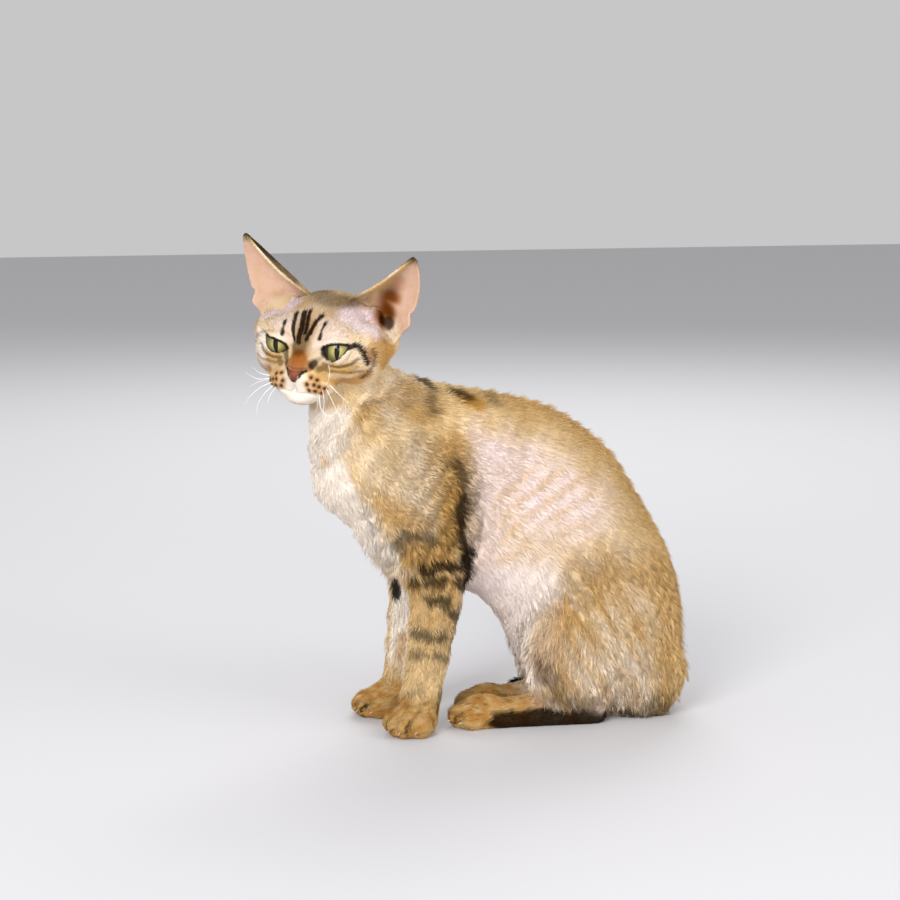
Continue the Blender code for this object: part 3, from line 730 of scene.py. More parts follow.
# Where each paw stands, as x and y, and how far it is turned out, as in the solids.
PAWS = {
    "forepaw_left": (-46.3, -37.5, 38, 1.0), "forepaw_right": (-52.3, 14.5, 12, 1.0),
    "hindfoot_left": (77.7, -49.0, -7, 0.86), "hindfoot_right": (83.7, 19.5, 13, 0.86),
}
HINDFOOT_PAW = 73.0
TOES = (-13.8, -4.6, 4.6, 13.8)


def paw_place(name: str) -> Place:
    """A paw's frame on the floor: its own -X is forward."""
    x, y, heading, _ = PAWS[name]
    ahead = HINDFOOT_PAW if name.startswith("hind") else 0
    return Place(
        Matrix.Translation((x, y, 0)) @ turned(heading, "Z") @ Matrix.Translation((-ahead, 0, 0))
    )


TOE_GAPS = ((-9.2, -17), (0, -21), (9.2, -17))


def toe_gaps(name: str) -> list[Array]:
    """The lines between the toes of a paw, from the top to the floor."""
    wide = PAWS[name][3]
    return [
        paw_place(name).outside(smooth_path([
            (start, gap * wide * 0.85, 17.0), (start - 7, gap * wide, 14.0),
            (start - 13, gap * wide * 1.03, 8.0), (start - 14, gap * wide * 1.03, 1)], 4))
        for gap, start in TOE_GAPS
    ]


def settled(points: Array, name: str = "hindfoot_right") -> Array:
    """Lays the right hind foot flatter and further back than its solid has it.

    Args:
        points: Places on the part.
        name: The part that they are on.

    Returns:
        The places after the move, which leaves the other feet as they are.
    """
    if name != "hindfoot_right":
        return points
    x, y, z = np.transpose(points)
    share = ramp(y, -21, -15) * ramp(x, 92, 62) * ramp(z, 50, 36)
    back = 7.5 * share * ramp(x, 75, 10)
    down = z * share * (0.15 + 0.07 * ramp(x, 10, 40))
    return rows(x + back, y, z - down)


def toe_gap_shade() -> list[Mark]:
    """Painted shade in the gaps between the toes."""
    return [
        Mark(Tint.DARK, tuple(map(tuple, settled(line[5:], name))), 0.5, 1.1, 0.95)
        for name in PAWS for line in toe_gaps(name)
    ]


NOSE_TIP = np.array((0.0, 27.0, -14.0))
EAR_FRONT_EDGE = ((11, -27, 25), (37, -27, 42), (59.5, -24, 65.5))
EAR_BACK_EDGE = ((44, -28, -8), (69, -40, 31), (66.5, -26, 58.5))
EAR_HOLLOW = np.array((-0.45, -0.88, 0.1))
EAR_TIP = np.array((63.0, -25.0, 62.5))
EAR_CANAL = (38.5, -40.0, 13.0)


def into_ear(local: Array, facing: Array) -> Array:
    """How squarely places of the head's frame face the way that the ear on their side opens."""
    return (facing * rows(np.sign(local[:, 0]), 1, 1)) @ -unit(EAR_HOLLOW)


class Comb:
    """The lie of the hair over the whole cat."""

    def at(self, points: Array, normals: Array, node: Array, names: list[str]) -> Array:
        """The way that the hair runs, along the skin.

        Args:
            points: Places on the skin.
            normals: The way that the skin faces.
            node: The number of the part that each place is on.
            names: The parts' names.

        Returns:
            Directions of length 1.
        """
        flow = self.body(points)
        local = HEAD.inside(points)
        for i, name in enumerate(names):
            here = node == i
            if name == "head":
                flow[here] = HEAD.outward(self.head(local[here]))
            elif name.startswith("ear"):
                side = SIDES[name.split("_")[1]]
                tip = EAR_TIP * (side, 1, 1)
                flow[here] = HEAD.outward(tip + (side * 4, 0, 8) - local[here])
            elif name.startswith("tail"):
                flow[here] = self.tail(points[here])
            elif name in PAWS:
                flow[here] = paw_place(name).outward(np.array([(-1.0, 0, -0.25)]))
        flow = unit(flow) + 0.3 * drift(points, 7, 21)
        return unit(flow - (flow * normals).sum(axis=1, keepdims=True) * normals)

    def body(self, points: Array) -> Array:
        """The lie of the trunk and the legs, from the nearest strokes of the comb."""
        run = unit(COMB[:, 2:])
        gap = ((points[:, None, [0, 2]] - COMB[:, :2]) ** 2).sum(axis=2)
        weight = 1 / (gap + COMB_REACH**2) ** 2
        mean = (weight[:, :, None] * run).sum(axis=1) / weight.sum(axis=1, keepdims=True)
        return rows(mean[:, 0], 0, mean[:, 1])

    def head(self, local: Array) -> Array:
        """The lie of the face, away from the nose, in the head's frame."""
        away = unit(local - NOSE_TIP)
        chin = ramp(local[:, 2], -26, -34)[:, None]
        brow = ramp(local[:, 2], 2, 10)[:, None] * ramp(np.abs(local[:, 0]), 26, 12)[:, None]
        back = rows(0.25 * np.sign(local[:, 0]), -0.5, 0.9)
        down = np.array((0.0, -0.7, -0.8))
        return away * (1 - chin) * (1 - 0.6 * brow) + down * chin + back * brow * 0.6

    def tail(self, points: Array) -> Array:
        """The way from the root of the tail to its tip."""
        line = smooth_path(TAIL_LINE, 4)
        gap = ((points[:, None] - line) ** 2).sum(axis=2)
        near = np.minimum(gap.argmin(axis=1), len(line) - 2)
        return line[near + 1] - line[near]


@dataclass(frozen=True)
class Push:
    """A soft push of the skin within a reach, in the head's frame."""

    at: Point
    reach: float
    by: Point
    paired: bool = True


@dataclass(frozen=True)
class Groove:
    """A soft furrow, or a ridge where it is less than 0 deep, along a path."""

    path: tuple[Point, ...]
    half_width: float
    depth: float
    paired: bool = False


FACE_PUSHES = [
    Push(EAR_CANAL, 12, (-2.0, -5.8, -1.0)),
    Push((-18, 9, 10), 11, (0, 1.6, -0.8)),
    Push((-11, 13, -3), 8, (0.5, -2.4, 0)),
    Push((-27, 4, -12), 13, (-0.8, 1.2, 0)),
    Push((-12, 19, -21), 8, (-0.6, 1.6, 0.3)),
    Push((0, 17, 0), 8, (0, -1.0, 0), False),
    Push((0, 20, -34), 8, (0, 1.0, 0), False),
    Push((-33, -10, 17), 12, (1.0, -1.0, -1.5)),
]
# The hollows of the skull in front of the ears, that the ears' own skin runs down into.
SKULL_PUSHES = [
    Push((47, -34, 15), 20, (-8.0, -5.0, -8.0)),
    Push((35, -25, 23), 14, (-2.0, -3.0, -7.0)),
    Push((44, -26, 10), 13, (-3.0, -8.0, -3.0)),
]
# Folds of the neck and behind the elbow, on the body's left.
BODY_GROOVES = [
    Groove(((-66, -31, 246), (-77, -37, 238), (-90, -39, 226), (-97, -38, 218)), 2.0, 0.9, True),
    Groove(((-56, -30, 245), (-68, -38, 236), (-80, -42, 224)), 2.0, 0.8, True),
    Groove(((-88, -33, 238), (-97, -36, 226), (-102, -34, 214)), 1.8, 0.7, True),
    Groove(((-12, -53, 168), (-9, -53, 149), (-10, -51, 131), (-12, -47, 120)), 2.4, 1.6, True),
    Groove(((-2, -53, 172), (1, -54, 152), (-1, -53, 131)), 2.0, 0.7, True),
    Groove(((10, -53, 172), (10, -54, 150), (5, -53, 128)), 2.0, 0.5, True),
]
FACE_GROOVES = [
    Groove(((0, 26, -19.5), (0, 25.0, -23), (0, 23.5, -27.3)), 0.9, 1.1),
    Groove(((0, 23.5, -27.3), (-3.5, 23.2, -28.6), (-8.5, 21.5, -28.6), (-14, 18.5, -29.2),
            (-20, 13, -31)), 1.0, 1.3, True),
    Groove(((-8, 14.5, 4.5), (-14, 12.5, 8.2), (-22, 10.5, 9.0), (-31, 5.0, 6.0)), 1.2, 0.8,
           True),
    Groove(((-12, 15, -9), (-20, 12, -10.5), (-30, 6, -8.5)), 1.1, 0.6, True),
]
# Painted shade in the nostrils, in the slits that run down from them, and along the groove below the
# nose.
MOUTH_MARKS = painted(
    Tint.DARK, False,
    (0.2, 0.5, 0.35, (0, 26, -19.5), (0, 25, -23), (0, 23.5, -27.3)),
) + painted(
    Tint.DARK, True,
    (0.6, 0.6, 1, (7, 20.5, -12.2), (5, 22, -13.3), (3.6, 22.5, -14.6), (2.9, 23, -16)),
    (0.25, 0.6, 0.8, (2.9, 23.5, -16.4), (1.4, 24.5, -18.8), (0, 25, -20.6)),
)


def pushed(points: Array, pushes: list[Push]) -> Array:
    """The skin's points after some pushes."""
    points = points.copy()
    for push in pushes:
        for side in (1, -1) if push.paired else (1,):
            flip = np.array((side, 1, 1))
            far = np.linalg.norm(HEAD.inside(points) - np.array(push.at) * flip, axis=1)
            step = ramp(far, push.reach, 0)[:, None] * (np.array(push.by) * flip)
            points += HEAD.outward(step)
    return points


@dataclass(frozen=True)
class Lids:
    """The opening of one eye: a loop of directions from the eye's middle.

    Each point is how far outward and how far up it lies in degrees, and how far beyond the
    eyeball the rim lies there.
    """

    side: int
    loop: tuple[Point, ...]

    def rim(self, steps: int = 8) -> Array:
        """The rim as points of the eye's frame."""
        a, b, over = smooth_path(self.loop, steps, closed=True).T
        a, b = np.radians(a) * self.side, np.radians(b)
        way = rows(np.sin(a) * np.cos(b), np.cos(a) * np.cos(b), np.sin(b))
        return way * (EYE_RADIUS + over)[:, None]

    def outside(self, local: Array) -> Array:
        """How far places of the eye's frame are outside the opening, less than 0 inside it."""
        rim = unit(self.rim())
        way = unit(local)
        far = distance_to(way, np.vstack([rim, rim[:1]])) * EYE_RADIUS
        flat, edge = (rows(np.arctan2(w[:, 0], w[:, 1]), w[:, 2]) for w in (way, rim))
        odd = np.zeros(len(local), bool)
        for (x0, z0), (x1, z1) in zip(edge, np.roll(edge, -1, axis=0)):
            spans = (flat[:, 1] < z0) != (flat[:, 1] < z1)
            cross = x0 + (flat[:, 1] - z0) * (x1 - x0) / (z1 - z0 if z1 != z0 else 1e-9)
            odd ^= spans & (flat[:, 0] < cross)
        return np.where(odd & (way[:, 1] > 0), -far, far)


LIDS = {
    -1: Lids(-1, ((-86, -14, 1.6), (-61, 15, 0.3), (-29, 28, 0), (2, 31, 0), (28, 26, 0),
                  (56, 12, 0.3), (28, -10, 0), (5, -27, 0), (-25, -37, 0), (-62, -36, 0.4))),
    1: Lids(1, ((-76, -18, 1.2), (-48, 9, 0.2), (-21, 18, 0), (12, 17, 0), (42, 10, 0),
                (68, -3, 0.3), (42, -33, 0), (-3, -39, 0), (-38, -33, 0), (-60, -28, 0.4))),
}
LID_THICK = 0.75


def lid_marks() -> list[Mark]:
    """The dark edges of the lids, wider on the upper one and in the inner corner."""
    found = []
    for side, lids in LIDS.items():
        rim = lids.rim(6)
        line = HEAD.inside(eye_place(side).outside(rim))
        inner = rim[:, 0] * side < -7.5
        for part, wide, strength in (((rim[:, 2] > 1.0), 0.9, 1.0), (inner, 1.3, 1.0),
                                     ((rim[:, 2] <= 1.0), 0.3, 0.8)):
            found += [Mark(Tint.DARK, (tuple(p),), wide, 0.9, strength) for p in line[part]]
    return found


GAZE = {-1: (-19.1, 10.0), 1: (-2.5, -2.7)}


def new_object(name: str, data: bpy.types.ID) -> Object:
    """An object of the scene for a mesh, a camera or a lamp."""
    made = bpy.data.objects.new(name, data)
    bpy.context.scene.collection.objects.link(made)
    return made


def modify(made: Object, kind: str, **settings: object) -> None:
    """Adds a modifier to an object."""
    modifier = made.modifiers.new(kind.lower(), kind)
    for name, value in settings.items():
        setattr(modifier, name, value)


def finished(made: Object) -> Object:
    """Applies an object's modifiers to its mesh."""
    graph = bpy.context.evaluated_depsgraph_get()
    mesh = bpy.data.meshes.new_from_object(made.evaluated_get(graph))
    made.modifiers.clear()
    made.data = mesh
    return made


def opened(mesh: Mesh) -> BMesh:
    """A form to work on, with the faces of a mesh."""
    form = bmesh.new()
    form.from_mesh(mesh)
    return form


def stored(form: BMesh, mesh: Mesh) -> Mesh:
    """Ends a form, whose faces go into a mesh."""
    form.to_mesh(mesh)
    form.free()
    return mesh


def numbers(items: bpy.types.bpy_prop_collection, name: str, width: int,
            kind: type = np.float32) -> Array:
    """What each of a mesh's elements holds, as rows of some width."""
    found = np.empty(len(items) * width, kind)
    items.foreach_get(name, found)
    return found.reshape(-1, width)


def packed(values: Array) -> Array:
    """Numbers in the form that a mesh takes them in."""
    return np.asarray(values, np.float32).ravel()


def coloured(made: Object, material: Material) -> Object:
    """Gives an object its material."""
    made.data.materials.append(material)
    return made


def points_of(mesh: Mesh) -> Array:
    """A mesh's points in millimetres."""
    return numbers(mesh.vertices, "co", 3).astype(float) / MM


def move_points(mesh: Mesh, points: Array) -> None:
    """Puts a mesh's points where the rows say, in millimetres."""
    mesh.vertices.foreach_set("co", packed(points * MM))
    mesh.update()


def normals_of(mesh: Mesh) -> Array:
    """The way that a mesh faces at each of its points."""
    return numbers(mesh.vertex_normals, "vector", 3).astype(float)


def edges_of(mesh: Mesh) -> Array:
    """The pairs of points that the edges join."""
    return numbers(mesh.edges, "vertices", 2, np.int32)


def tree_of(mesh: Mesh) -> BVHTree:
    """A mesh's faces in millimetres, for finding the place nearest to a point."""
    return BVHTree.FromPolygons(
        points_of(mesh).tolist(), [list(p.vertices) for p in mesh.polygons]
    )


def relaxed(values: Array, edges: Array, weight: Array | float, rounds: int) -> Array:
    """Values at the points of a mesh, each drawn to the mean of its neighbours.

    Args:
        values: One row for each point.
        edges: The pairs of neighbours.
        weight: How far each point goes to the mean in one round.
        rounds: How often it is done.

    Returns:
        The smoothed values.
    """
    count = len(values)
    found = values.reshape(count, -1).copy()
    share = np.broadcast_to(np.asarray(weight, float), (count,))[:, None]
    degree = np.maximum(np.bincount(edges.ravel(), minlength=count), 1)[:, None]
    for _ in range(rounds):
        mean = np.empty_like(found)
        for column in range(found.shape[1]):
            mean[:, column] = np.bincount(
                edges.ravel(), found[edges[:, ::-1].ravel(), column], count
            )
        found += share * (mean / degree - found)
    return found.reshape(values.shape)


def shaped_grid(name: str, across: int, along: int, shape: Shape) -> Object:
    """A grid of cells that is bent into a shape, with its meeting edges joined.

    Args:
        name: The object's name.
        across: How many cells u runs over.
        along: How many cells v runs over.
        shape: Takes u and v from 0 to 1, and gives the points in millimetres.

    Returns:
        The new object.
    """
    form = bmesh.new()
    bmesh.ops.create_grid(form, x_segments=across, y_segments=along, size=0.5)
    flat = np.array([vert.co[:2] for vert in form.verts]) + 0.5
    for vert, point in zip(form.verts, shape(flat[:, 0], flat[:, 1])):
        vert.co = Vector(point) * MM
    bmesh.ops.remove_doubles(form, verts=form.verts, dist=1e-6)
    bmesh.ops.recalc_face_normals(form, faces=form.faces)
    mesh = stored(form, bpy.data.meshes.new(name))
    mesh.shade_smooth()
    return new_object(name, mesh)


def tube(name: str, path: Array, radii: Array, sides: int, up: Point,
         closed: bool = False) -> Object:
    """A round bar along a path.

    Args:
        name: The object's name.
        path: The points of its middle line.
        radii: Its radius at each of them.
        sides: How many sides it has.
        up: A direction that the path never runs along.
        closed: Whether its end joins its start.

    Returns:
        The new object.
    """
    if closed:
        line = np.vstack([path, path[:1]])
        ahead = np.gradient(line, axis=0)
        ahead[0] = ahead[-1] = path[1] - path[-1]
        wide = np.append(radii, radii[0])
    else:
        line, ahead = (
            np.vstack([ends[:1], ends, ends[-1:]]) for ends in (path, np.gradient(path, axis=0))
        )
        wide = np.concatenate([[0], radii, [0]])
    beside = unit(np.cross(ahead, np.array(up, float)))
    above = unit(np.cross(beside, ahead))
    count = len(line) - 1

    def shape(u: Array, v: Array) -> Array:
        """The bar's surface."""
        i = np.rint(v * count).astype(int)
        a = u * math.tau
        ring = beside[i] * np.cos(a)[:, None] + above[i] * np.sin(a)[:, None]
        return line[i] + ring * wide[i][:, None]

    return shaped_grid(name, sides, count, shape)


def joined(name: str, parts: list[Object]) -> Object:
    """One object of several, whose own objects are removed."""
    form = bmesh.new()
    for part in parts:
        form.from_mesh(part.data)
        bpy.data.objects.remove(part)
    mesh = stored(form, bpy.data.meshes.new(name))
    mesh.shade_smooth()
    return new_object(name, mesh)


@dataclass
class Ear:
    """One ear, as a cupped sheet with a fold in its outer rim."""

    side: int
    thick: float = 1.5
    depth: float = 17.0
    cells: int = 48
    root_at: float = -0.15
    tip_at: float = 0.985
    roll: Point = (3.2, 2.0, -0.6)

    def point(self, across: Array, up: Array) -> Array:
        """Points of the sheet, with across from -1 to 1 and up from 0 to 1."""
        front, back = (
            start * ((1 - up) ** 2)[:, None] + bend * (2 * up * (1 - up))[:, None]
            + end * (up**2)[:, None]
            for start, bend, end in (np.array(EAR_FRONT_EDGE, float),
                                     np.array(EAR_BACK_EDGE, float))
        )
        half = (back - front) / 2 * np.sqrt(1 - up**5)[:, None]
        deep = self.depth * (1 - up) ** 0.8 * (1 - across**2)
        fold = np.exp(-(((up - 0.30) / 0.055) ** 2)) * ramp(across, 0.55, 1.0)
        notch = np.exp(-(((up - 0.385) / 0.03) ** 2)) * ramp(across, 0.75, 1.0)
        spread = (across + 0.05 * fold - 0.10 * notch)[:, None]
        way = unit(EAR_HOLLOW)
        ripple = 0.5 * np.sin(across * 9 + up * 4) * ramp(up, 0.75, 0.35)
        lift = -2.6 * fold + 0.8 * notch + ripple
        rolled = (ramp(across, -0.62, -1.0) * np.sin(np.pi * np.clip(up, 0, 1)))[:, None]
        middle = (front + back) / 2 + half * spread + way * (deep + lift)[:, None]
        return middle + rolled * np.array(self.roll)

    def places(self, points: Array) -> Array:
        """How far across and up the sheet each place of the head's frame is."""
        across, up = np.meshgrid(np.linspace(-1, 1, 41), np.linspace(0, self.tip_at, 41))
        across, up = across.ravel(), up.ravel()
        tree = KDTree(len(up))
        for i, point in enumerate(self.point(across, up) * (self.side, 1, 1)):
            tree.insert(point, i)
        tree.balance()
        found = np.array([tree.find(p)[1] for p in points.tolist()], int)
        return rows(across[found], up[found])

    def build(self) -> Object:
        """The closed sheet, in the model's frame."""

        def shape(u: Array, v: Array) -> Array:
            """The sheet's middle surface."""
            points = self.point(2 * u - 1, self.root_at + (self.tip_at - self.root_at) * v)
            return HEAD.outside(points * (self.side, 1, 1))

        made = shaped_grid("ear", self.cells, self.cells, shape)
        modify(made, "SOLIDIFY", thickness=self.thick * MM, offset=0)
        form = opened(finished(made).data)
        bmesh.ops.recalc_face_normals(form, faces=form.faces)
        stored(form, made.data)
        return made


class Skin:
    """The one skin that is wrapped round all the parts of the body."""

    seal = 0.35
    voxel = 2.2
    rounds = 7
    fillet = 4.5

    def __init__(self) -> None:
        """Builds the skin's mesh and notes which part each of its points is on."""
        self.names = list(FURS)
        self.object = self.wrap()
        self.mesh = self.object.data
        self.refine()
        self.label()
        self.draw_in()
        for groove in BODY_GROOVES:
            line = smooth_path(groove.path, 4)
            for path in (line, mirrored(line)):
                self.furrow(path, groove.half_width, groove.depth)
        self.shape_face()
        self.shape_paws()
        self.mesh.shade_smooth()

    def wrap(self) -> Object:
        """The solids as one rounded skin, with the ears grown on to it."""
        form = bmesh.new()
        for name in [*self.names, *EYES, "nose"]:
            if not name.startswith("ear"):
                self.swell(form, name)
        made = new_object("skin", stored(form, bpy.data.meshes.new("skin")))
        modify(made, "REMESH", mode="VOXEL", voxel_size=self.voxel * MM)
        finished(made)
        points = relaxed(points_of(made.data), edges_of(made.data), 0.5, self.rounds)
        move_points(made.data, pushed(points, SKULL_PUSHES))
        self.bare = tree_of(made.data)
        ears = [Ear(side).build() for side in SIDES.values()]
        self.ears = [tree_of(ear.data) for ear in ears]
        for ear in ears:
            modify(made, "BOOLEAN", operation="UNION", object=ear)
        finished(made)
        for ear in ears:
            bpy.data.objects.remove(ear)
        return made

    def swell(self, form: BMesh, name: str) -> None:
        """Adds a node's copy to a mesh, a little larger so that it meets its neighbours."""
        part = opened(bpy.data.objects[name].data)
        bmesh.ops.remove_doubles(part, verts=part.verts, dist=1e-6)
        bmesh.ops.recalc_face_normals(part, faces=part.faces)
        for vert, away in [(v, v.normal.copy()) for v in part.verts]:
            vert.co += away * self.seal * MM
        mesh = stored(part, bpy.data.meshes.new(name + "_copy"))
        form.from_mesh(mesh)
        bpy.data.meshes.remove(mesh)

    def refine(self) -> None:
        """Cuts the head, the face and the paws into finer faces."""
        form = opened(self.mesh)
        for zone, longest in ((self.on_head, 1.3), (self.on_paws, 1.3), (self.on_face, 0.75)):
            points = np.array([v.co for v in form.verts]) / MM
            near = zone(points)
            edges = [
                e for e in form.edges
                if near[e.verts[0].index] and near[e.verts[1].index]
                and e.calc_length() > longest * MM
            ]
            bmesh.ops.subdivide_edges(form, edges=edges, cuts=1, use_grid_fill=True)
            form.verts.index_update()
        stored(form, self.mesh)
        points, edges = points_of(self.mesh), edges_of(self.mesh)
        weight = 0.5 * (self.on_head(points) | self.on_paws(points))
        skull, ears = (
            np.array([
                min(tree.find_nearest(p)[3] for tree in trees) if w else FAR
                for p, w in zip(points, weight)
            ])
            for trees in ([self.bare], self.ears)
        )
        root = ramp(skull, self.fillet, 0.5) * ramp(ears, self.fillet, 0.5)
        sheet = ramp(ears, 0.6, 0.1) * ramp(skull, 0.5, 2.0)
        points = relaxed(points, edges, weight * (1 - sheet) * 0.5, 3)
        points = relaxed(points, edges, 0.5 * root, 24)
        move_points(self.mesh, points)

    def on_head(self, points: Array) -> Array:
        """Which points are on the head."""
        local = HEAD.inside(points)
        return (local[:, 1] > -24) & (np.linalg.norm(local - (0, -12, -4), axis=1) < 44)

    def on_face(self, points: Array) -> Array:
        """Which points are round the eyes, the nose and the mouth."""
        local = HEAD.inside(points)
        return (local[:, 1] > 2) & (np.abs(local[:, 0]) < 34) & (np.abs(local[:, 2] + 11) < 26)

    def on_paws(self, points: Array) -> Array:
        """Which points are on a paw."""
        found = np.zeros(len(points), bool)
        for name in PAWS:
            local = paw_place(name).inside(points)
            found |= (np.abs(local[:, 0] + 18) < 24) & (np.abs(local[:, 1]) < 24) & (
                local[:, 2] < 24)
        return found

    def label(self) -> None:
        """Notes the solid that each point of the skin belongs to."""
        corners, faces, owners = [], [], []
        for i, name in enumerate(self.names):
            mesh = bpy.data.objects[name].data
            first = len(corners)
            corners.extend(points_of(mesh).tolist())
            faces.extend([first + v for v in p.vertices] for p in mesh.polygons)
            owners.extend([i] * len(mesh.polygons))
        tree = BVHTree.FromPolygons(corners, faces)
        points = points_of(self.mesh)
        self.node = np.array([owners[tree.find_nearest(p)[2]] for p in points])
        local = HEAD.inside(points)
        skull = np.array([self.bare.find_nearest(p)[3] for p in points])
        self.ear_at = np.zeros((len(points), 2))
        for side_name, side in SIDES.items():
            ear = self.names.index(f"ear_{side_name}")
            self.node[(self.node == ear) & (skull < 0.8)] = self.names.index("head")
            here = np.flatnonzero(self.node == ear)
            self.ear_at[here] = Ear(side).places(local[here])

    def fur(self, field: str) -> Array:
        """One size of the coat at each point, eased from part to part."""
        sizes = np.array([getattr(FURS[name], field) for name in self.names], float)
        return relaxed(sizes[self.node], edges_of(self.mesh), 0.5, 14)

    def draw_in(self) -> None:
        """Draws the skin in by the depth of the coat, but not off the floor."""
        points, normals = points_of(self.mesh), normals_of(self.mesh)
        step = normals * self.fur("depth")[:, None]
        step[:, 2] *= ramp(points[:, 2], 0.5, 3.0)
        points -= step
        points[:, 2] = np.maximum(points[:, 2], SKIN_GAP)
        move_points(self.mesh, points)

    def shape_face(self) -> None:
        """Models the brows, the lids, the pads, the mouth and the folds."""
        points, edges = points_of(self.mesh), edges_of(self.mesh)
        move_points(self.mesh, pushed(points, FACE_PUSHES))
        for groove in FACE_GROOVES:
            for side in (1, -1) if groove.paired else (1,):
                line = smooth_path(groove.path, 4) * (side, 1, 1)
                points = self.furrow(HEAD.outside(line), groove.half_width, groove.depth)
        self.opening = np.full(len(points), FAR)
        for side, lids in LIDS.items():
            place = eye_place(side)
            local = place.inside(points)
            near = np.flatnonzero((np.linalg.norm(local, axis=1) < 20) & (local[:, 1] > 0))
            points[near] = place.outside(self.lid(local[near], lids))
            local = place.inside(points[near])
            high = ramp(np.linalg.norm(local, axis=1), EYE_RADIUS + 1.2, EYE_RADIUS + 3.0)
            self.opening[near] = np.minimum(self.opening[near], lids.outside(local) + FAR * high)
        move_points(self.mesh, self.eased(points, edges))

    def eased(self, points: Array, edges: Array) -> Array:
        """The points, evened out where the lids have stretched the skin beside the nose."""
        length = np.linalg.norm(points[edges[:, 0]] - points[edges[:, 1]], axis=1)
        longest = np.zeros(len(points))
        np.maximum.at(longest, edges.ravel(), np.repeat(length, 2))
        weight = ramp(longest, 1.3, 2.4) * ramp(self.opening, 0.2, 0.8) * (self.opening < FAR - 0.5)
        weight = np.clip(2 * relaxed(weight, edges, 0.5, 4), 0, 0.5)
        return relaxed(points, edges, weight * ramp(self.opening, 0.0, 0.5), 40)

    def lid(self, local: Array, lids: Lids) -> Array:
        """Skin round one eye, laid over the eyeball and opened between the lids.

        Args:
            local: Points of the skin in the eye's frame.
            lids: The opening.

        Returns:
            The moved points.
        """
        out = lids.outside(local)
        far = np.linalg.norm(local, axis=1)
        over = np.maximum(far - EYE_RADIUS, 0)
        fold = 0.55 * np.exp(-(((out - 2.2) / 1.1) ** 2))
        wanted = EYE_RADIUS + LID_THICK + fold
        near = ramp(far, EYE_RADIUS + 7.5, EYE_RADIUS + 2.5)
        hold = ramp(out, 7.5, 2.5) * near
        laid = far * (1 - hold) + np.maximum(wanted, np.minimum(far, wanted + 0.35 * over)) * hold
        inside = out < 0
        sunk = far + (np.minimum(far, EYE_RADIUS * 0.86) - far) * near
        radius = np.where(inside, sunk, laid)
        return unit(local) * radius[:, None]

    def furrow(self, line: Array, half_width: float, depth: float) -> Array:
        """Presses a furrow into the skin along a line, and returns the skin's points."""
        points, normals = points_of(self.mesh), normals_of(self.mesh)
        line = snapped(line, tree_of(self.mesh))
        reach = 3 * half_width
        low, high = line.min(axis=0) - reach, line.max(axis=0) + reach
        near = np.flatnonzero(((points > low) & (points < high)).all(axis=1))
        far = distance_to(points[near], line)
        amount = depth * np.exp(-((far / half_width) ** 2))
        points[near] -= normals[near] * amount[:, None]
        move_points(self.mesh, points)
        return points

    def shape_paws(self) -> None:
        """Parts the toes of each paw."""
        for name in PAWS:
            for line, deep in zip(toe_gaps(name), (2.2, 2.6, 2.2)):
                self.furrow(line, 1.3, deep)
        points = points_of(self.mesh)
        legs = [self.names.index(name) for name in ("foreleg_right", "forepaw_right")]
        rear = ~np.isin(self.node, legs)
        points[rear] = settled(points[rear])
        points[:, 2] = np.maximum(points[:, 2], SKIN_GAP)
        move_points(self.mesh, points)

    def paint(self, markings: Markings) -> None:
        """Writes the markings on to the skin."""
        points, normals = points_of(self.mesh), normals_of(self.mesh)
        tints = markings.at(points, normals)
        write_tints(self.mesh, tints, 0, 0.5, self.inner_ear(points, normals))

    def inner_ear(self, points: Array, normals: Array) -> Array:
        """How much each point lies on the bare inside of an ear."""
        local = HEAD.inside(points)
        opens = into_ear(local, HEAD.inward(normals))
        ear = np.isin(self.node, [self.names.index(n) for n in ("ear_left", "ear_right")])
        across, up = self.ear_at.T
        near = local[:, 0] < 0
        bare = ramp(across, np.where(near, -0.5, -0.98), np.where(near, -0.15, -0.9))
        found = ramp(opens, -0.25, 0.15) * ear * bare * ramp(up, 0.985, 0.93)
        return relaxed(found, edges_of(self.mesh), 0.5, 2)


def write_tints(mesh: Mesh, tints: Array, along: Array | float, chance: Array | float,
                inner: Array | float) -> None:
    """Stores what a mesh's material reads at each point.

    Args:
        mesh: The mesh to store it in.
        tints: Six numbers a point, in the order of Tint.
        along: How far along its tuft each point is.
        chance: A random number for its tuft.
        inner: How much it lies on the inside of an ear.
    """
    strand = rows(tints[:, Tint.PINK], tints[:, Tint.GREY], along, chance)
    for name, colours in (("marks", tints[:, : Tint.PINK]), ("strand", strand)):
        made = mesh.color_attributes.new(name, "FLOAT_COLOR", "POINT")
        made.data.foreach_set("color", packed(colours))
    made = mesh.attributes.new("inner", "FLOAT", "POINT")
    made.data.foreach_set("value", np.full(len(tints), inner, np.float32))


@dataclass
class Roots:
    """Where tufts grow, with what each one takes from the skin there."""

    point: Array
    normal: Array
    flow: Array
    tints: Array
    inner: Array
    uv: Array
    length: Array
    half_width: Array
    lift: Array
    wave: Array
    gather: Array
    ripple: Array


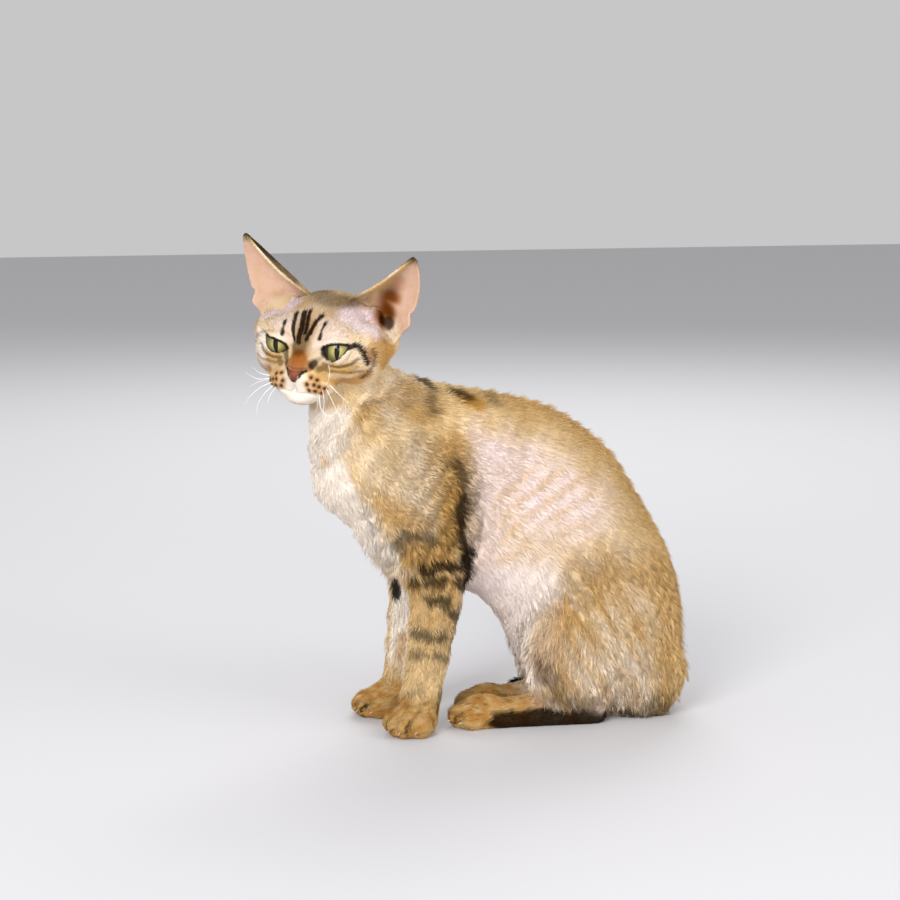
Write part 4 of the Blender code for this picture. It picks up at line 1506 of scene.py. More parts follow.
class Coat:
    """The tufts of the whole cat, in one piece for each part of the body."""

    # How wide a tuft is, as a share, at its root and further along it.
    shape = ((0.0, 0.75), (0.45, 1.0))

    def __init__(self, skin: Skin, markings: Markings, material: Material) -> None:
        """Takes the skin's shape, its pattern and the lie of the hair on it."""
        self.skin = skin
        self.markings = markings
        self.material = material
        self.random = np.random.default_rng(SEED)
        mesh = skin.mesh
        self.points, self.normals = points_of(mesh), normals_of(mesh)
        mesh.calc_loop_triangles()
        self.corners, self.loops = (
            numbers(mesh.loop_triangles, name, 3, np.int32) for name in ("vertices", "loops")
        )
        self.tree = BVHTree.FromPolygons(self.points.tolist(), self.corners.tolist())
        self.flow = Comb().at(self.points, self.normals, skin.node, skin.names)
        self.inner = skin.inner_ear(self.points, self.normals)
        self.size = {
            f: skin.fur(f) for f in ("length", "half_width", "lift", "wave", "gather", "ripple")
        }
        self.uv = self.unwrapped(mesh)
        self.fit()

    def unwrapped(self, mesh: Mesh) -> Array:
        """The skin's unwrap, as the place of each corner of its triangles."""
        if "OFBake" in mesh.uv_layers:
            return numbers(mesh.uv_layers["OFBake"].uv, "vector", 2)[self.loops]
        return np.zeros((*self.loops.shape, 2), np.float32)

    def fit(self) -> None:
        """Fits the coat's length, lift and density to the face, the ears, the neck and the soles."""
        local = HEAD.inside(self.points)
        size, opening = self.size, self.skin.opening
        head = self.skin.node == self.skin.names.index("head")
        face = ramp(np.linalg.norm(local - (0, 20, -12), axis=1), 52, 14) * head
        face = relaxed(face, edges_of(self.skin.mesh), 0.5, 4)
        close = ramp(opening, 5, 0.5)
        tip = ramp(self.skin.ear_at[:, 1], 0.86, 0.97)
        x, _, z = self.points.T
        fluff = ramp(np.hypot(x + 74, z - 120), 36, 12)
        back = ramp(self.normals[:, 2], 0.2, 0.8) * ramp(local[:, 2], -20, -50)
        size["length"] *= (1 - 0.62 * face) * (1 - 0.45 * close) * (1 + 1.3 * tip)
        size["length"] *= 1 + 0.7 * fluff
        size["half_width"] *= 1 - 0.55 * face
        size["lift"] = np.maximum(size["lift"] - 6 * close, 3)
        size["lift"] *= (1 + 0.8 * fluff) * (1 + 1.0 * back)
        density = np.where(opening < 0.35, 0, 1) * (1 + 1.1 * face) * (1 - 0.985 * self.inner)
        density *= (1 + tip) * ~self.under_nose(local)
        paired = rows(np.abs(local[:, 0]), local[:, 1], local[:, 2])
        density *= ramp(np.linalg.norm(paired - EAR_CANAL, axis=1), 8, 13)
        sole = ramp(-self.normals[:, 2], 0.75, 0.95) * ramp(z, 8, 2)
        self.density = density * (1 - 0.9 * sole)

    def under_nose(self, local: Array) -> Array:
        """Which places the nose's leather covers."""
        share = np.clip((NOSE_TOP - local[:, 2]) / (NOSE_TOP - NOSE_FOOT), 0, 1)
        wide = NOSE_HALF * (1 - share) + 0.1
        inside = (local[:, 2] < NOSE_TOP) & (local[:, 2] > NOSE_FOOT) & (local[:, 1] > 17)
        return inside & (np.abs(local[:, 0]) < wide)

    def roots(self, here: Array, count: int) -> Roots:
        """Scatters roots over some of the skin's triangles.

        Args:
            here: Which triangles to use.
            count: How many roots to make.

        Returns:
            The roots.
        """
        used = self.corners[here]
        a, b, c = (self.points[used[:, i]] for i in range(3))
        area = np.linalg.norm(np.cross(b - a, c - a), axis=1) / 2
        total = np.cumsum(area * self.density[used].mean(axis=1))
        spread = (np.arange(count) + self.random.random(count)) / count
        pick = np.minimum(np.searchsorted(total, spread * total[-1]), len(used) - 1)
        r, s = self.random.random((2, count))
        r = np.sqrt(r)
        share = rows(1 - r, r * (1 - s), r * s)
        verts = used[pick]

        def mixed(values: Array) -> Array:
            """Values of the points, mixed at each root."""
            return np.einsum("ij,ij...->i...", share, values[verts])

        point = mixed(self.points)
        normal = unit(mixed(self.normals))
        flow = mixed(self.flow) + 0.14 * self.random.normal(size=(count, 3))
        flow = unit(flow - (flow * normal).sum(axis=1, keepdims=True) * normal)
        return Roots(
            point, normal, flow, self.markings.at(point, normal), mixed(self.inner),
            np.einsum("ij,ijk->ik", share, self.uv[here][pick]),
            *(mixed(size) for size in self.size.values()),
        )

    def template(self) -> tuple[Array, Array, list[list[int]]]:
        """One tuft: how far along and round each of its points is, and its faces."""
        form = bmesh.new()
        bmesh.ops.create_cone(
            form, cap_ends=True, cap_tris=False, segments=3, radius1=1, radius2=0, depth=1,
            matrix=Matrix.Translation((0, 0, 0.5)),
        )
        for level, _ in self.shape[1:]:
            everything = form.verts[:] + form.edges[:] + form.faces[:]
            bmesh.ops.bisect_plane(
                form, geom=everything, plane_co=(0, 0, level), plane_no=(0, 0, 1)
            )
        bmesh.ops.recalc_face_normals(form, faces=form.faces)
        form.verts.index_update()
        co = np.array([v.co for v in form.verts])
        faces = [[v.index for v in f.verts] for f in form.faces]
        form.free()
        return co[:, 2], np.arctan2(co[:, 1], co[:, 0]), faces

    def nearest(self, points: Array) -> tuple[Array, Array]:
        """The nearest places of the skin, and the way it faces there."""
        found = [self.tree.find_nearest(p)[:2] for p in points.tolist()]
        return np.array([f[0] for f in found]), np.array([f[1] for f in found])

    def locks(self, roots: Roots, spacing: float) -> Array:
        """The number of the root that each root's lock gathers to."""
        count = len(roots.point)
        x, y, z = np.ptp(roots.point, axis=0)
        area = x * y + y * z + z * x
        amount = int(np.clip(2.0 * area / spacing**2, 8, count))
        heads = self.random.choice(count, amount, replace=False)
        tree = KDTree(amount)
        for i, head in enumerate(heads):
            tree.insert(roots.point[head], i)
        tree.balance()
        return heads[[tree.find(p)[1] for p in roots.point.tolist()]]

    def grow(self, name: str, roots: Roots, spacing: float, cling: float) -> Object:
        """Builds one piece of the coat.

        Args:
            name: The piece's name.
            roots: Where its tufts grow.
            spacing: How far apart its locks are.
            cling: How closely the tips keep to the skin, from 0 to 1.

        Returns:
            The piece.
        """
        count = len(roots.point)
        lock = self.locks(roots, spacing)
        chance = 0.45 * self.random.random(count) + 0.55 * self.random.random(count)[lock]
        length = roots.length * (0.7 + 0.6 * self.random.random(count))
        lift = np.radians(roots.lift * (0.6 + 0.8 * self.random.random(count)[lock]))
        swell = waves(roots.point)
        lift *= 1 + 0.8 * roots.ripple * swell + 0.3 * noise(roots.point, 5.0, 31)
        chance = np.clip(chance - 0.16 * roots.ripple * swell, 0, 1)
        rise = (length * np.sin(lift))[:, None]
        far = roots.flow * (length * np.cos(lift))[:, None]
        ends = []
        for out, high in ((roots.point + far, rise), (roots.point + far / 2, 0.62 * rise)):
            laid, up = self.nearest(out)
            ends.append((laid + up * high) * cling + (out + roots.normal * high) * (1 - cling))
        tip, bend = ends
        beside = np.cross(roots.flow, roots.normal)
        phase = 3.5 * noise(roots.point[lock], 11.0, 32) + 1.5 * self.random.random(count)[lock]
        sway = roots.wave[:, None] * beside
        bend += sway * np.sin(2 * phase)[:, None]
        tip += sway * 1.2 * np.sin(2 * phase - 2.2)[:, None]
        share = roots.gather[:, None]
        tip += share * (tip[lock] - tip)
        bend += 0.35 * share * (bend[lock] - bend)
        along, around, faces = self.template()
        base = roots.point - roots.normal * 0.35
        control = 2 * bend - 0.5 * (base + tip)
        s = along[None, :, None]
        centre = (base[:, None] * (1 - s) ** 2 + 2 * s * (1 - s) * control[:, None]
                  + tip[:, None] * s**2)
        widths = np.interp(along, *zip(*self.shape, (1.0, 0.0)))
        half = roots.half_width * (0.75 + 0.5 * self.random.random(count))
        ring = (np.cos(around)[None, :, None] * beside[:, None]
                + 0.7 * np.sin(around)[None, :, None] * roots.normal[:, None])
        verts = centre + ring * (half[:, None] * widths[None])[:, :, None]
        verts[:, :, 2] = np.maximum(verts[:, :, 2], FLOOR_GAP)
        mesh = self.mesh_of(name, verts, faces)
        size = len(along)
        tints = np.repeat(roots.tints, size, axis=0)
        write_tints(mesh, tints, np.tile(along, count), np.repeat(chance, size),
                    np.repeat(roots.inner, size))
        self.map_patches(mesh, roots.uv, along, around, faces)
        mesh.shade_smooth()
        return coloured(new_object(name, mesh), self.material)

    def mesh_of(self, name: str, verts: Array, faces: list[list[int]]) -> Mesh:
        """A mesh of many like tufts.

        Args:
            name: The mesh's name.
            verts: The points of each tuft.
            faces: The faces of one tuft.

        Returns:
            The mesh.
        """
        count, size = verts.shape[:2]
        corners = np.array([v for face in faces for v in face], np.int32)
        starts = np.cumsum([0] + [len(face) for face in faces])
        first = (np.arange(count, dtype=np.int32) * size)[:, None]
        loops = (first + corners[None]).ravel()
        begin = (np.arange(count, dtype=np.int32) * len(corners))[:, None] + starts[None, :-1]
        mesh = bpy.data.meshes.new(name)
        mesh.vertices.add(count * size)
        mesh.loops.add(len(loops))
        mesh.polygons.add(begin.size)
        mesh.vertices.foreach_set("co", packed(verts * MM))
        mesh.loops.foreach_set("vertex_index", loops)
        mesh.polygons.foreach_set("loop_start", begin.astype(np.int32).ravel())
        mesh.update(calc_edges=True)
        return mesh

    def map_patches(self, mesh: Mesh, uv: Array, along: Array, around: Array,
                    faces: list[list[int]]) -> None:
        """Gives each tuft a small patch of the OFBake map, at its root's place.

        Args:
            mesh: The piece's mesh.
            uv: The root's place on the skin's unwrap.
            along: How far along the tuft each of its points is.
            around: How far round it each point is.
            faces: The faces of one tuft.
        """
        patch = 0.003
        corners = [v for face in faces for v in face]
        offset = rows(np.cos(around) * (1 - along) / 2, along - 0.5)[corners] * patch
        layer = mesh.uv_layers.new(name="OFBake")
        layer.uv.foreach_set("vector", packed(uv[:, None] + offset[None]))

    def build(self) -> None:
        """Grows the coat, part by part."""
        face_node = self.skin.node[self.corners[:, 0]]
        forward = HEAD.inside(self.points[self.corners[:, 0]])[:, 1]
        for i, name in enumerate(self.skin.names):
            here = np.flatnonzero(face_node == i)
            split = {name: here}
            if name == "head":
                face = forward[here] > -2
                split = {"head_face": here[face], "head_crown": here[~face]}
            cling = 0.55 if name.startswith(("chest", "neck", "foreleg")) else 0.8
            slot = "ear" if name.startswith("ear") else "coat"
            for piece_name, part in split.items():
                count = FURS[name].tufts // len(split)
                roots = self.roots(part, count)
                piece = self.grow(f"coat_{piece_name}", roots, FURS[name].lock, cling)
                add_piece(piece, slot)


NOSE_TOP, NOSE_FOOT, NOSE_HALF = -11.2, -20.8, 6.3


@dataclass
class Nose:
    """The bare leather of the nose, with its nostrils, on the skin that the tree holds."""

    tree: BVHTree
    cells: int = 46
    proud: float = 0.6
    # How far out of the face the rays start that find the skin.
    ray_start: float = 45.0

    def ground(self, x: Array, z: Array) -> Array:
        """How far forward the skin is, in the head's frame."""
        back = Vector(HEAD.outward(np.array((0, -1, 0))))
        starts = HEAD.outside(rows(x, self.ray_start, z))
        return self.ray_start - np.array([self.tree.ray_cast(Vector(p), back)[3] for p in starts])

    def build(self, markings: Markings) -> Object:
        """The leather as a closed shell, let into the face."""

        def shape(u: Array, v: Array) -> Array:
            """The front of the leather in the model's frame."""
            across = 2 * u - 1
            dip = 0.9 * (1 - np.abs(across)) * (1 - v)
            x = across * (NOSE_HALF * (1 - v) ** 0.95 + 0.3)
            z = NOSE_TOP + (NOSE_FOOT - NOSE_TOP) * v - dip
            rim = np.minimum(ramp(np.abs(across), 1, 0.8), ramp(np.abs(v - 0.5), 0.5, 0.42))
            y = self.ground(x, z) - 0.3 + (self.proud + 0.3) * rim
            path = smooth_path([(5.9, -13.6), (4.8, -14.6), (3.6, -15.9), (3.4, -17.0)], 4)
            hole = np.exp(-((distance_to(rows(np.abs(x), z), path) / 0.7) ** 2))
            cleft = np.exp(-((x / 0.4) ** 2)) * ramp(v, 0.35, 0.7)
            return HEAD.outside(rows(x, y - 2.0 * hole - 0.5 * cleft, z))

        made = shaped_grid("nose_leather", self.cells, self.cells, shape)
        form = opened(made.data)
        inward = Vector(HEAD.outward(np.array((0, -3.5, 0)))) * MM
        grown = bmesh.ops.extrude_face_region(form, geom=form.faces[:])
        moved = [g for g in grown["geom"] if isinstance(g, bmesh.types.BMVert)]
        bmesh.ops.translate(form, verts=moved, vec=inward)
        bmesh.ops.recalc_face_normals(form, faces=form.faces)
        mesh = stored(form, made.data)
        mesh.shade_smooth()
        write_tints(mesh, markings.at(points_of(mesh), normals_of(mesh)), 0, 0, 0)
        return made


@dataclass
class Eye:
    """One eye: the ball with its iris and slit, and the dark rims of its lids."""

    name: str
    side: int

    def ball(self) -> Object:
        """The eyeball, with its cornea bulging along the gaze."""
        yaw, pitch = GAZE[self.side]
        middle = Matrix.Translation(eye_place(self.side).origin)
        head = middle @ HEAD.matrix.to_3x3().to_4x4()
        look = Place(head @ turned(-yaw, "Z") @ turned(pitch, "X"))

        def shape(u: Array, v: Array) -> Array:
            """The ball's surface, with a pole at the gaze."""
            a, b = u * math.tau, v * math.pi
            bulge = 0.35 * ramp(b, math.radians(50), 0)
            local = rows(np.sin(b) * np.cos(a), np.cos(b), np.sin(b) * np.sin(a))
            return look.outside(local * (EYE_RADIUS + bulge)[:, None])

        made = shaped_grid(self.name + "ball", 64, 48, shape)
        local = look.inside(points_of(made.data)) / EYE_RADIUS
        gaze = made.data.attributes.new("gaze", "FLOAT_VECTOR", "POINT")
        local *= (-self.side, 1, 1)
        gaze.data.foreach_set("vector", packed(local))
        return made

    def rims(self) -> Object:
        """The dark edge of the lids, as a bar round the opening."""
        place = eye_place(self.side)
        rim = LIDS[self.side].rim(10)
        line = place.outside(unit(rim) * (np.linalg.norm(rim, axis=1) + 0.3)[:, None])
        radii = 0.22 + 0.40 * ramp(rim[:, 2], -2.0, 2.5)
        forward = tuple(place.turn[:, 1])
        return tube(self.name + "lid_rim", line, radii, 8, forward, closed=True)


@dataclass(frozen=True)
class Whisker:
    """One whisker: its line from the root, in the head's frame, and its radius there."""

    line: tuple[Point, ...]
    radius: float = 0.2


WHISKERS = [
    Whisker(((20, 19, -20), (27, 20, -19), (34, 18, -16))),
    Whisker(((20, 19, -22), (29, 21, -23), (38, 20, -20))),
    Whisker(((18, 20, -24), (25, 23, -28), (33, 23, -36), (38, 21, -44))),
    Whisker(((17, 20, -26), (22, 23, -32), (27, 23, -41), (28, 21, -50))),
    Whisker(((15, 20, -27), (18, 23, -33), (20, 23, -40)), 0.16),
    Whisker(((21, 18, -23), (29, 19, -26), (36, 18, -31)), 0.16),
    Whisker(((-19, 19, -24), (-22, 23, -30), (-22, 24, -37), (-21, 23, -42))),
    Whisker(((-17, 20, -27), (-20, 23, -36), (-26, 23, -40), (-31, 21, -36), (-31, 20, -32))),
    Whisker(((-21, 18, -23), (-26, 20, -29), (-30, 20, -36), (-31, 19, -39))),
    Whisker(((-23, 16, -21), (-29, 17, -25), (-35, 16, -30), (-38, 15, -32))),
    Whisker(((-16, 20, -27), (-17, 22, -33), (-16, 22, -40)), 0.15),
    Whisker(((-20, 13, -8), (-22, 15, -13), (-21, 17, -20), (-18, 18, -25)), 0.12),
]


class Whiskers:
    """The whiskers of the pads and the cheeks."""

    steps = 6

    def build(self) -> Object:
        """All the whiskers in one piece."""
        parts = []
        for i, whisker in enumerate(WHISKERS):
            line = HEAD.outside(smooth_path(whisker.line, self.steps))
            taper = np.linspace(1, 0.25, len(line)) * whisker.radius
            parts.append(tube(f"whisker_{i}", line, taper, 6, (0.3, 0.9, 0.2)))
        return joined("whiskers", parts)


class Claws:
    """The tips of the claws, drawn in between the hairs of the toes."""

    def build(self) -> Object:
        """All the claws in one piece."""
        parts = []
        for name, (_, _, _, wide) in PAWS.items():
            for toe in TOES:
                front = -34.5 if abs(toe) < 9 else -28.0
                line = [(front + 3.0, toe * wide, 6.3), (front + 1.0, toe * wide * 1.02, 5.5),
                        (front + 0.2, toe * wide * 1.03, 4.4)]
                path = settled(paw_place(name).outside(smooth_path(line, 4)), name)
                radii = np.linspace(0.5, 0.1, len(path))
                parts.append(tube(f"{name}_{toe}", path, radii, 6, (0.1, 0.9, 0.1)))
        return joined("claws", parts)


class Wire:
    """A socket of a shader, or a number, that can be reckoned with."""

    def __init__(self, tree: NodeTree, source: object) -> None:
        """Wraps an output socket of a tree."""
        self.tree = tree
        self.source = source

    def math(self, operation: str, *others: object) -> "Wire":
        """Adds a Math node that works on this value and the others."""
        values = dict(enumerate((self, *others)))
        return add(self.tree, "ShaderNodeMath", {"operation": operation}, values)

    def __add__(self, other: object) -> "Wire":
        """This plus another, in either order."""
        return self.math("ADD", other)

    __radd__ = __add__

    def __sub__(self, other: object) -> "Wire":
        """This minus another."""
        return self.math("SUBTRACT", other)

    def __rsub__(self, other: object) -> "Wire":
        """Another minus this."""
        return add(self.tree, "ShaderNodeMath", {"operation": "SUBTRACT"}, {0: other, 1: self})

    def __mul__(self, other: object) -> "Wire":
        """This times another, in either order."""
        return self.math("MULTIPLY", other)

    __rmul__ = __mul__

    def __truediv__(self, other: object) -> "Wire":
        """This divided by another."""
        return self.math("DIVIDE", other)

    def __pow__(self, other: object) -> "Wire":
        """This to the power of another."""
        return self.math("POWER", other)

    def step(self, low: float, high: float) -> "Wire":
        """A smooth step of this value from low to high."""
        settings = {"interpolation_type": "SMOOTHSTEP"}
        sockets = {"Value": self, "From Min": low, "From Max": high}
        return add(self.tree, "ShaderNodeMapRange", settings, sockets)


def plug(tree: NodeTree, socket: bpy.types.NodeSocket, value: object) -> None:
    """Links a Wire to an input of a node, or sets the input's own value."""
    if isinstance(value, Wire):
        tree.links.new(value.source, socket)
    else:
        socket.default_value = value


def add(tree: NodeTree, kind: str, settings: dict, sockets: dict, output: object = 0) -> Wire:
    """Adds any node.

    Args:
        tree: The material's node tree.
        kind: The node's type.
        settings: Its own settings, which are set first.
        sockets: A value or a Wire for each input, by name or number.
        output: The name or number of the output to give back.

    Returns:
        That output.
    """
    node = tree.nodes.new(kind)
    for name, value in settings.items():
        setattr(node, name, value)
    for name, value in sockets.items():
        plug(tree, node.inputs[name], value)
    return Wire(tree, node.outputs[output])


Colour = tuple[float, float, float]


def light(colour: Colour) -> tuple[float, float, float, float]:
    """A colour of the screen, from 0 to 255, as the light that the shader works in."""
    return (*(((c / 255 + 0.055) / 1.055) ** 2.4 for c in colour), 1.0)


class Finish:
    """A material, with the methods that its kinds share."""

    roughness = 0.5

    def __init__(self, name: str) -> None:
        """Makes an empty material."""
        self.material = bpy.data.materials.new(name)
        self.material.use_nodes = True
        self.tree = self.material.node_tree
        self.shader = self.tree.nodes["Principled BSDF"]
        self.shader.inputs["Roughness"].default_value = self.roughness
        self.build()

    def build(self) -> None:
        """Adds the finish's own nodes."""

    def node(self, kind: str, settings: dict, sockets: dict, output: object = 0) -> Wire:
        """Adds a node to this material."""
        return add(self.tree, kind, settings, sockets, output)

    def attribute(self, name: str, output: str) -> Wire:
        """A value that the piece's own mesh holds."""
        return self.node("ShaderNodeAttribute", {"attribute_name": name}, {}, output)

    def mix(self, share: object, first: object, second: object) -> Wire:
        """A colour between two."""
        sockets = {0: share, 6: first, 7: second}
        return self.node("ShaderNodeMix", {"data_type": "RGBA"}, sockets, 2)

    def spots(self, scale: float, detail: float = 2.0) -> Wire:
        """Noise over the piece's own coordinates, with its grain in pieces to a metre."""
        where = self.node("ShaderNodeTexCoord", {}, {}, "Object")
        return self.node("ShaderNodeTexNoise", {}, {
            "Vector": where, "Scale": scale, "Detail": detail})

    def feed(self, socket: str, value: object) -> None:
        """Links a value to the shader, or sets it."""
        plug(self.tree, self.shader.inputs[socket], value)

    def bump(self, height: Wire, distance: float, strength: float = 1.0) -> None:
        """Roughens the surface by a height in millimetres."""
        self.feed("Normal", self.node("ShaderNodeBump", {}, {
            "Height": height, "Distance": distance * MM, "Strength": strength}))


class CoatFinish(Finish):
    """Ticked brown tabby hair, or the skin below it, coloured by the mesh's markings."""

    roughness = 0.7
    tan = (228, 200, 152)
    cream = (247, 235, 222)
    gold = (200, 154, 84)
    rufous = (156, 88, 30)
    grey = (140, 108, 60)
    dark = (24, 12, 5)
    pink = (232, 214, 215)
    inner = (214, 178, 156)

    def build(self) -> None:
        """Mixes the tints, with darker ticked tips and painted shade towards the roots."""
        split = "ShaderNodeSeparateColor"
        marks = self.attribute("marks", "Color")
        dark, rufous, pale = (self.node(split, {}, {"Color": marks}, i) for i in range(3))
        gold = self.attribute("marks", "Alpha")
        strand = self.attribute("strand", "Color")
        pink, grey, along = (self.node(split, {}, {"Color": strand}, i) for i in range(3))
        chance = self.attribute("strand", "Alpha")
        inner = self.attribute("inner", "Fac")
        colour = self.mix(gold, light(self.tan), light(self.gold))
        colour = self.mix(grey * 0.8, colour, light(self.grey))
        colour = self.mix(pale, colour, light(self.cream))
        colour = self.mix(pink * 0.95, colour, light(self.pink))
        ticked = chance.step(0.35, 0.0) * along.step(0.15, 0.8) * (1 - pale) * (1 - pink)
        colour = self.mix(ticked * 0.5, colour, light(self.grey))
        blush = self.spots(160, 3)
        colour = self.mix(blush.step(0.45, 0.75) * 0.25 * (1 - pale) * (1 - pink), colour,
                          light(self.gold))
        skin = self.mix(blush.step(0.4, 0.7) * 0.3, light(self.inner), light(self.gold))
        colour = self.mix(inner, colour, skin)
        colour = self.mix(rufous, colour, light(self.rufous))
        colour = self.mix(dark * (0.95 + 0.05 * along), colour, light(self.dark))
        # A random tone for each tuft, times painted shade that darkens the tufts towards their roots
        # and the bare skin below them.
        tone = (0.78 + 0.44 * chance) * (0.8 + 0.2 * along.step(0.0, 0.5))
        colour = self.node("ShaderNodeVectorMath", {"operation": "SCALE"}, {
            0: colour, "Scale": tone})
        self.feed("Base Color", colour)
        self.feed("Specular IOR Level", 0.0)
        self.bump(self.spots(900, 2), 0.12)


class EyeFinish(Finish):
    """A yellow-green iris with an upright slit, under a wet clear cornea."""

    roughness = 0.08
    near_slit = (172, 158, 92)
    outer = (92, 92, 50)
    limbus_and_lid_shadow = (24, 20, 10)
    slit_half, slit_high = 0.17, 0.78

    def build(self) -> None:
        """Draws the iris and the slit from the gaze that the mesh holds."""
        gaze = self.attribute("gaze", "Vector")
        split = "ShaderNodeSeparateXYZ"
        x, y, z = (self.node(split, {}, {"Vector": gaze}, i) for i in range(3))
        from_middle = (x * x + z * z) ** 0.5
        streaks = self.node("ShaderNodeTexNoise", {}, {
            "Vector": self.node("ShaderNodeCombineXYZ", {}, {
                "X": z.math("ARCTAN2", x) * 5.0, "Y": from_middle * 2.0}),
            "Scale": 3.0, "Detail": 3.0})
        colour = self.mix(from_middle.step(0.15, 0.72) * (0.6 + 0.8 * streaks),
                          light(self.near_slit), light(self.outer))
        # Painted shadow of the upper lid: the top of the iris is darker.
        colour = self.mix(z.step(0.0, 0.7) * 0.65, colour, light(self.limbus_and_lid_shadow))
        colour = self.mix(from_middle.step(0.80, 0.90), colour, light(self.limbus_and_lid_shadow))
        edge = self.slit_half * (1 - (z / self.slit_high) * (z / self.slit_high))
        slit = (x.math("ABSOLUTE") - edge).step(0.02, -0.01)
        colour = self.mix(slit, colour, (0.004, 0.004, 0.003, 1))
        colour = self.mix(x.step(0.5, 0.68), colour, light(self.limbus_and_lid_shadow))
        colour = self.mix(y.step(0.2, 0.0), colour, light(self.limbus_and_lid_shadow))
        self.feed("Base Color", colour)
        self.feed("Specular IOR Level", 0.0)
        self.feed("Coat Weight", 0.6)
        self.feed("Coat Roughness", 0.03)


class RimFinish(Finish):
    """The dark, moist skin of the lids' edges."""

    roughness = 0.55
    skin = (18, 12, 9)

    def build(self) -> None:
        """One dark skin with a fine grain."""
        grain = self.spots(700, 2)
        self.feed("Base Color", self.mix(grain.step(0.4, 0.8) * 0.4, light(self.skin),
                                         light((70, 48, 36))))
        self.feed("Specular IOR Level", 0.15)
        self.bump(grain, 0.1)


class LeatherFinish(Finish):
    """The brick-brown leather of the nose, pebbled and darker at its edges."""

    roughness = 0.42
    brick = (118, 60, 38)
    shade = (74, 36, 24)

    def build(self) -> None:
        """Mixes the brick with darker patches and the dark marks that the mesh holds."""
        pebbles = self.node("ShaderNodeTexVoronoi", {}, {
            "Vector": self.node("ShaderNodeTexCoord", {}, {}, "Object"), "Scale": 1900.0})
        patch = self.spots(260, 3)
        marks = self.attribute("marks", "Color")
        dark = self.node("ShaderNodeSeparateColor", {}, {"Color": marks})
        colour = self.mix(patch.step(0.35, 0.7) * 0.5, light(self.brick), light(self.shade))
        # The dark marks include the painted shade of the nostrils.
        colour = self.mix(dark * 0.9, colour, light((24, 13, 10)))
        self.feed("Base Color", colour)
        self.feed("Specular IOR Level", 0.25)
        self.bump(pebbles, 0.12)


class HornFinish(Finish):
    """The pale, slightly clear horn of the claws."""

    roughness = 0.35
    tones = (222, 204, 178), (150, 120, 90)
    grain, most = 400, 0.5

    def build(self) -> None:
        """One tone that turns to the other in spots."""
        share = self.spots(self.grain).step(0.3, 0.7) * self.most
        self.feed("Base Color", self.mix(share, *map(light, self.tones)))


class WhiskerFinish(HornFinish):
    """Stiff white hair, with the slightest change of tone."""

    roughness = 0.4
    tones = (252, 250, 246), (225, 218, 206)
    grain, most = 200, 0.3


class FloorFinish(Finish):
    """The pale paint of the floor."""

    roughness = 0.8

    def build(self) -> None:
        """One pale tone."""
        self.feed("Base Color", light((200, 199, 202)))


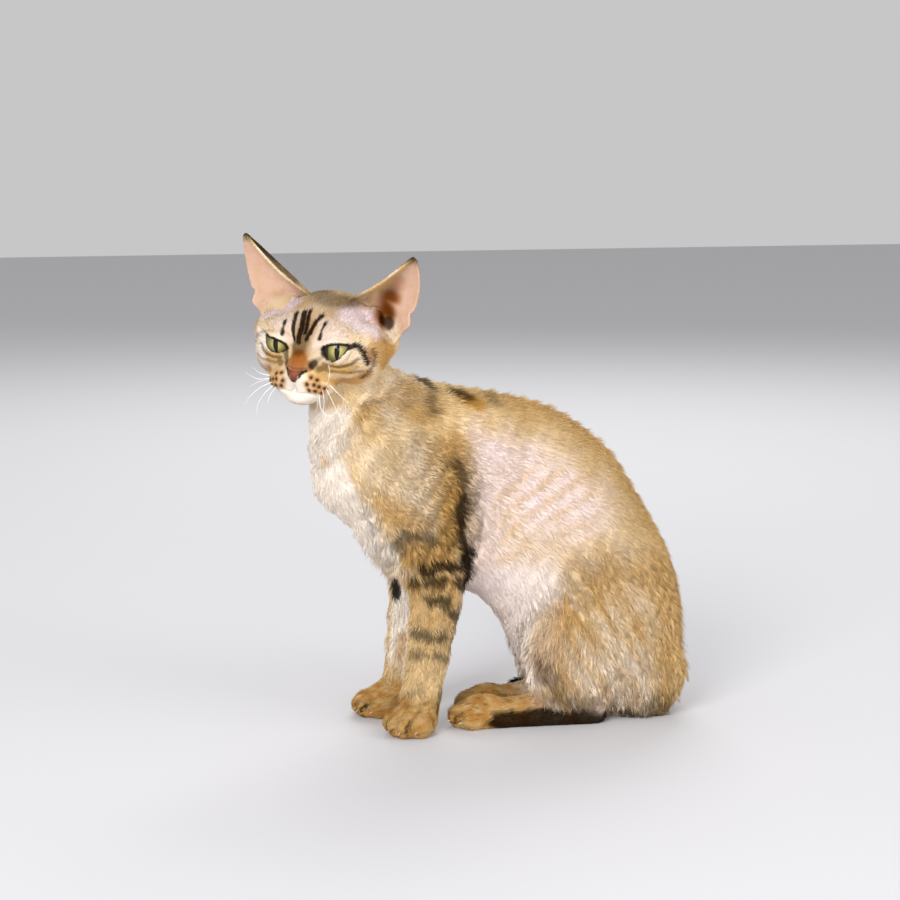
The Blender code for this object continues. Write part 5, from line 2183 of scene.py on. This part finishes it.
class Studio:
    """The camera, the pale floor and the soft lights."""

    camera_at = (-0.4318, -1.4505, 0.4100)
    aimed_at = (-0.0184, -0.0086, 0.1916)
    lens = 86.62
    lamps_aimed_at = (0, 0, 0.16)

    def build(self) -> None:
        """Sets up all that is not the cat."""
        self.camera()
        self.floor()
        self.lamp("key", (-1.6, -1.9, 1.35), 1.2, 62)
        self.lamp("fill", (1.5, -1.6, 1.1), 1.6, 20)
        self.lamp("front", (-0.1, -2.0, 0.2), 1.2, 20)
        self.lamp("back", (0.6, 1.6, 1.7), 1.4, 26)
        world = bpy.data.worlds.new("studio")
        bpy.context.scene.world = world
        world.use_nodes = True
        glow = world.node_tree.nodes["Background"].inputs
        glow["Color"].default_value = (1.0, 1.0, 1.0, 1)
        glow["Strength"].default_value = 0.57
        bpy.context.scene.view_settings.view_transform = "Standard"

    def stand(self, data: bpy.types.ID, at: Point, aim: Point) -> Object:
        """Puts a camera or a lamp in its place, turned to what it is aimed at."""
        made = new_object(data.name, data)
        made.location = at
        made.rotation_euler = (Vector(aim) - Vector(at)).to_track_quat("-Z", "Y").to_euler()
        return made

    def camera(self) -> None:
        """The camera, as the photograph was taken."""
        data = bpy.data.cameras.new("camera")
        data.sensor_width = 36
        data.lens = self.lens
        bpy.context.scene.camera = self.stand(data, self.camera_at, self.aimed_at)

    def floor(self) -> None:
        """A plain pale floor."""
        form = bmesh.new()
        bmesh.ops.create_grid(form, x_segments=1, y_segments=1, size=6)
        made = new_object("floor", stored(form, bpy.data.meshes.new("floor")))
        coloured(made, FloorFinish("pale_floor").material)

    def lamp(self, name: str, at: Point, size: float, power: float) -> None:
        """A square soft light that is turned to the cat."""
        data = bpy.data.lights.new(name, "AREA")
        data.size = size
        data.energy = power
        self.stand(data, at, self.lamps_aimed_at)


def unwrap(made: Object) -> None:
    """Unwraps a piece by its own shape, in the map named OFBake."""
    made.data.uv_layers.new(name="OFBake")
    bpy.context.view_layer.objects.active = made
    made.select_set(True)
    bpy.ops.object.mode_set(mode="EDIT")
    bpy.ops.mesh.select_all(action="SELECT")
    bpy.ops.uv.smart_project(angle_limit=math.radians(66), island_margin=0.002)
    bpy.ops.object.mode_set(mode="OBJECT")
    made.select_set(False)


def add_piece(piece: Object, slot: str, *nodes: str) -> None:
    """Sets a finished piece on the cat, in the place of its solids."""
    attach(piece, "root")
    if nodes:
        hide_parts(*nodes)
    LOG.info("%s: %d faces", piece.name, len(piece.data.polygons))


def main() -> None:
    """Builds the cat and the studio."""
    logging.basicConfig(level=logging.INFO, format="%(relativeCreated)d ms %(message)s")
    coat = CoatFinish("coat").material
    skin = Skin()
    markings = Markings(tree_of(skin.mesh))
    skin.paint(markings)
    coloured(skin.object, coat)
    unwrap(skin.object)
    add_piece(skin.object, "coat", *FURS)
    rims, eyes = RimFinish("lid_skin").material, EyeFinish("eye").material
    for name, side in SIDES.items():
        eye = Eye(f"{name}_eye_", side)
        add_piece(coloured(eye.ball(), eyes), "eye", f"eye_{name}")
        add_piece(coloured(eye.rims(), rims), "lid")
    leather = coloured(
        Nose(tree_of(skin.mesh)).build(markings), LeatherFinish("nose_leather").material
    )
    add_piece(leather, "nose_leather", "nose")
    add_piece(coloured(Claws().build(), HornFinish("claw").material), "whisker")
    add_piece(coloured(Whiskers().build(), WhiskerFinish("whisker").material), "whisker")
    Coat(skin, markings, coat).build()
    Studio().build()


if __name__ == "__main__":
    main()
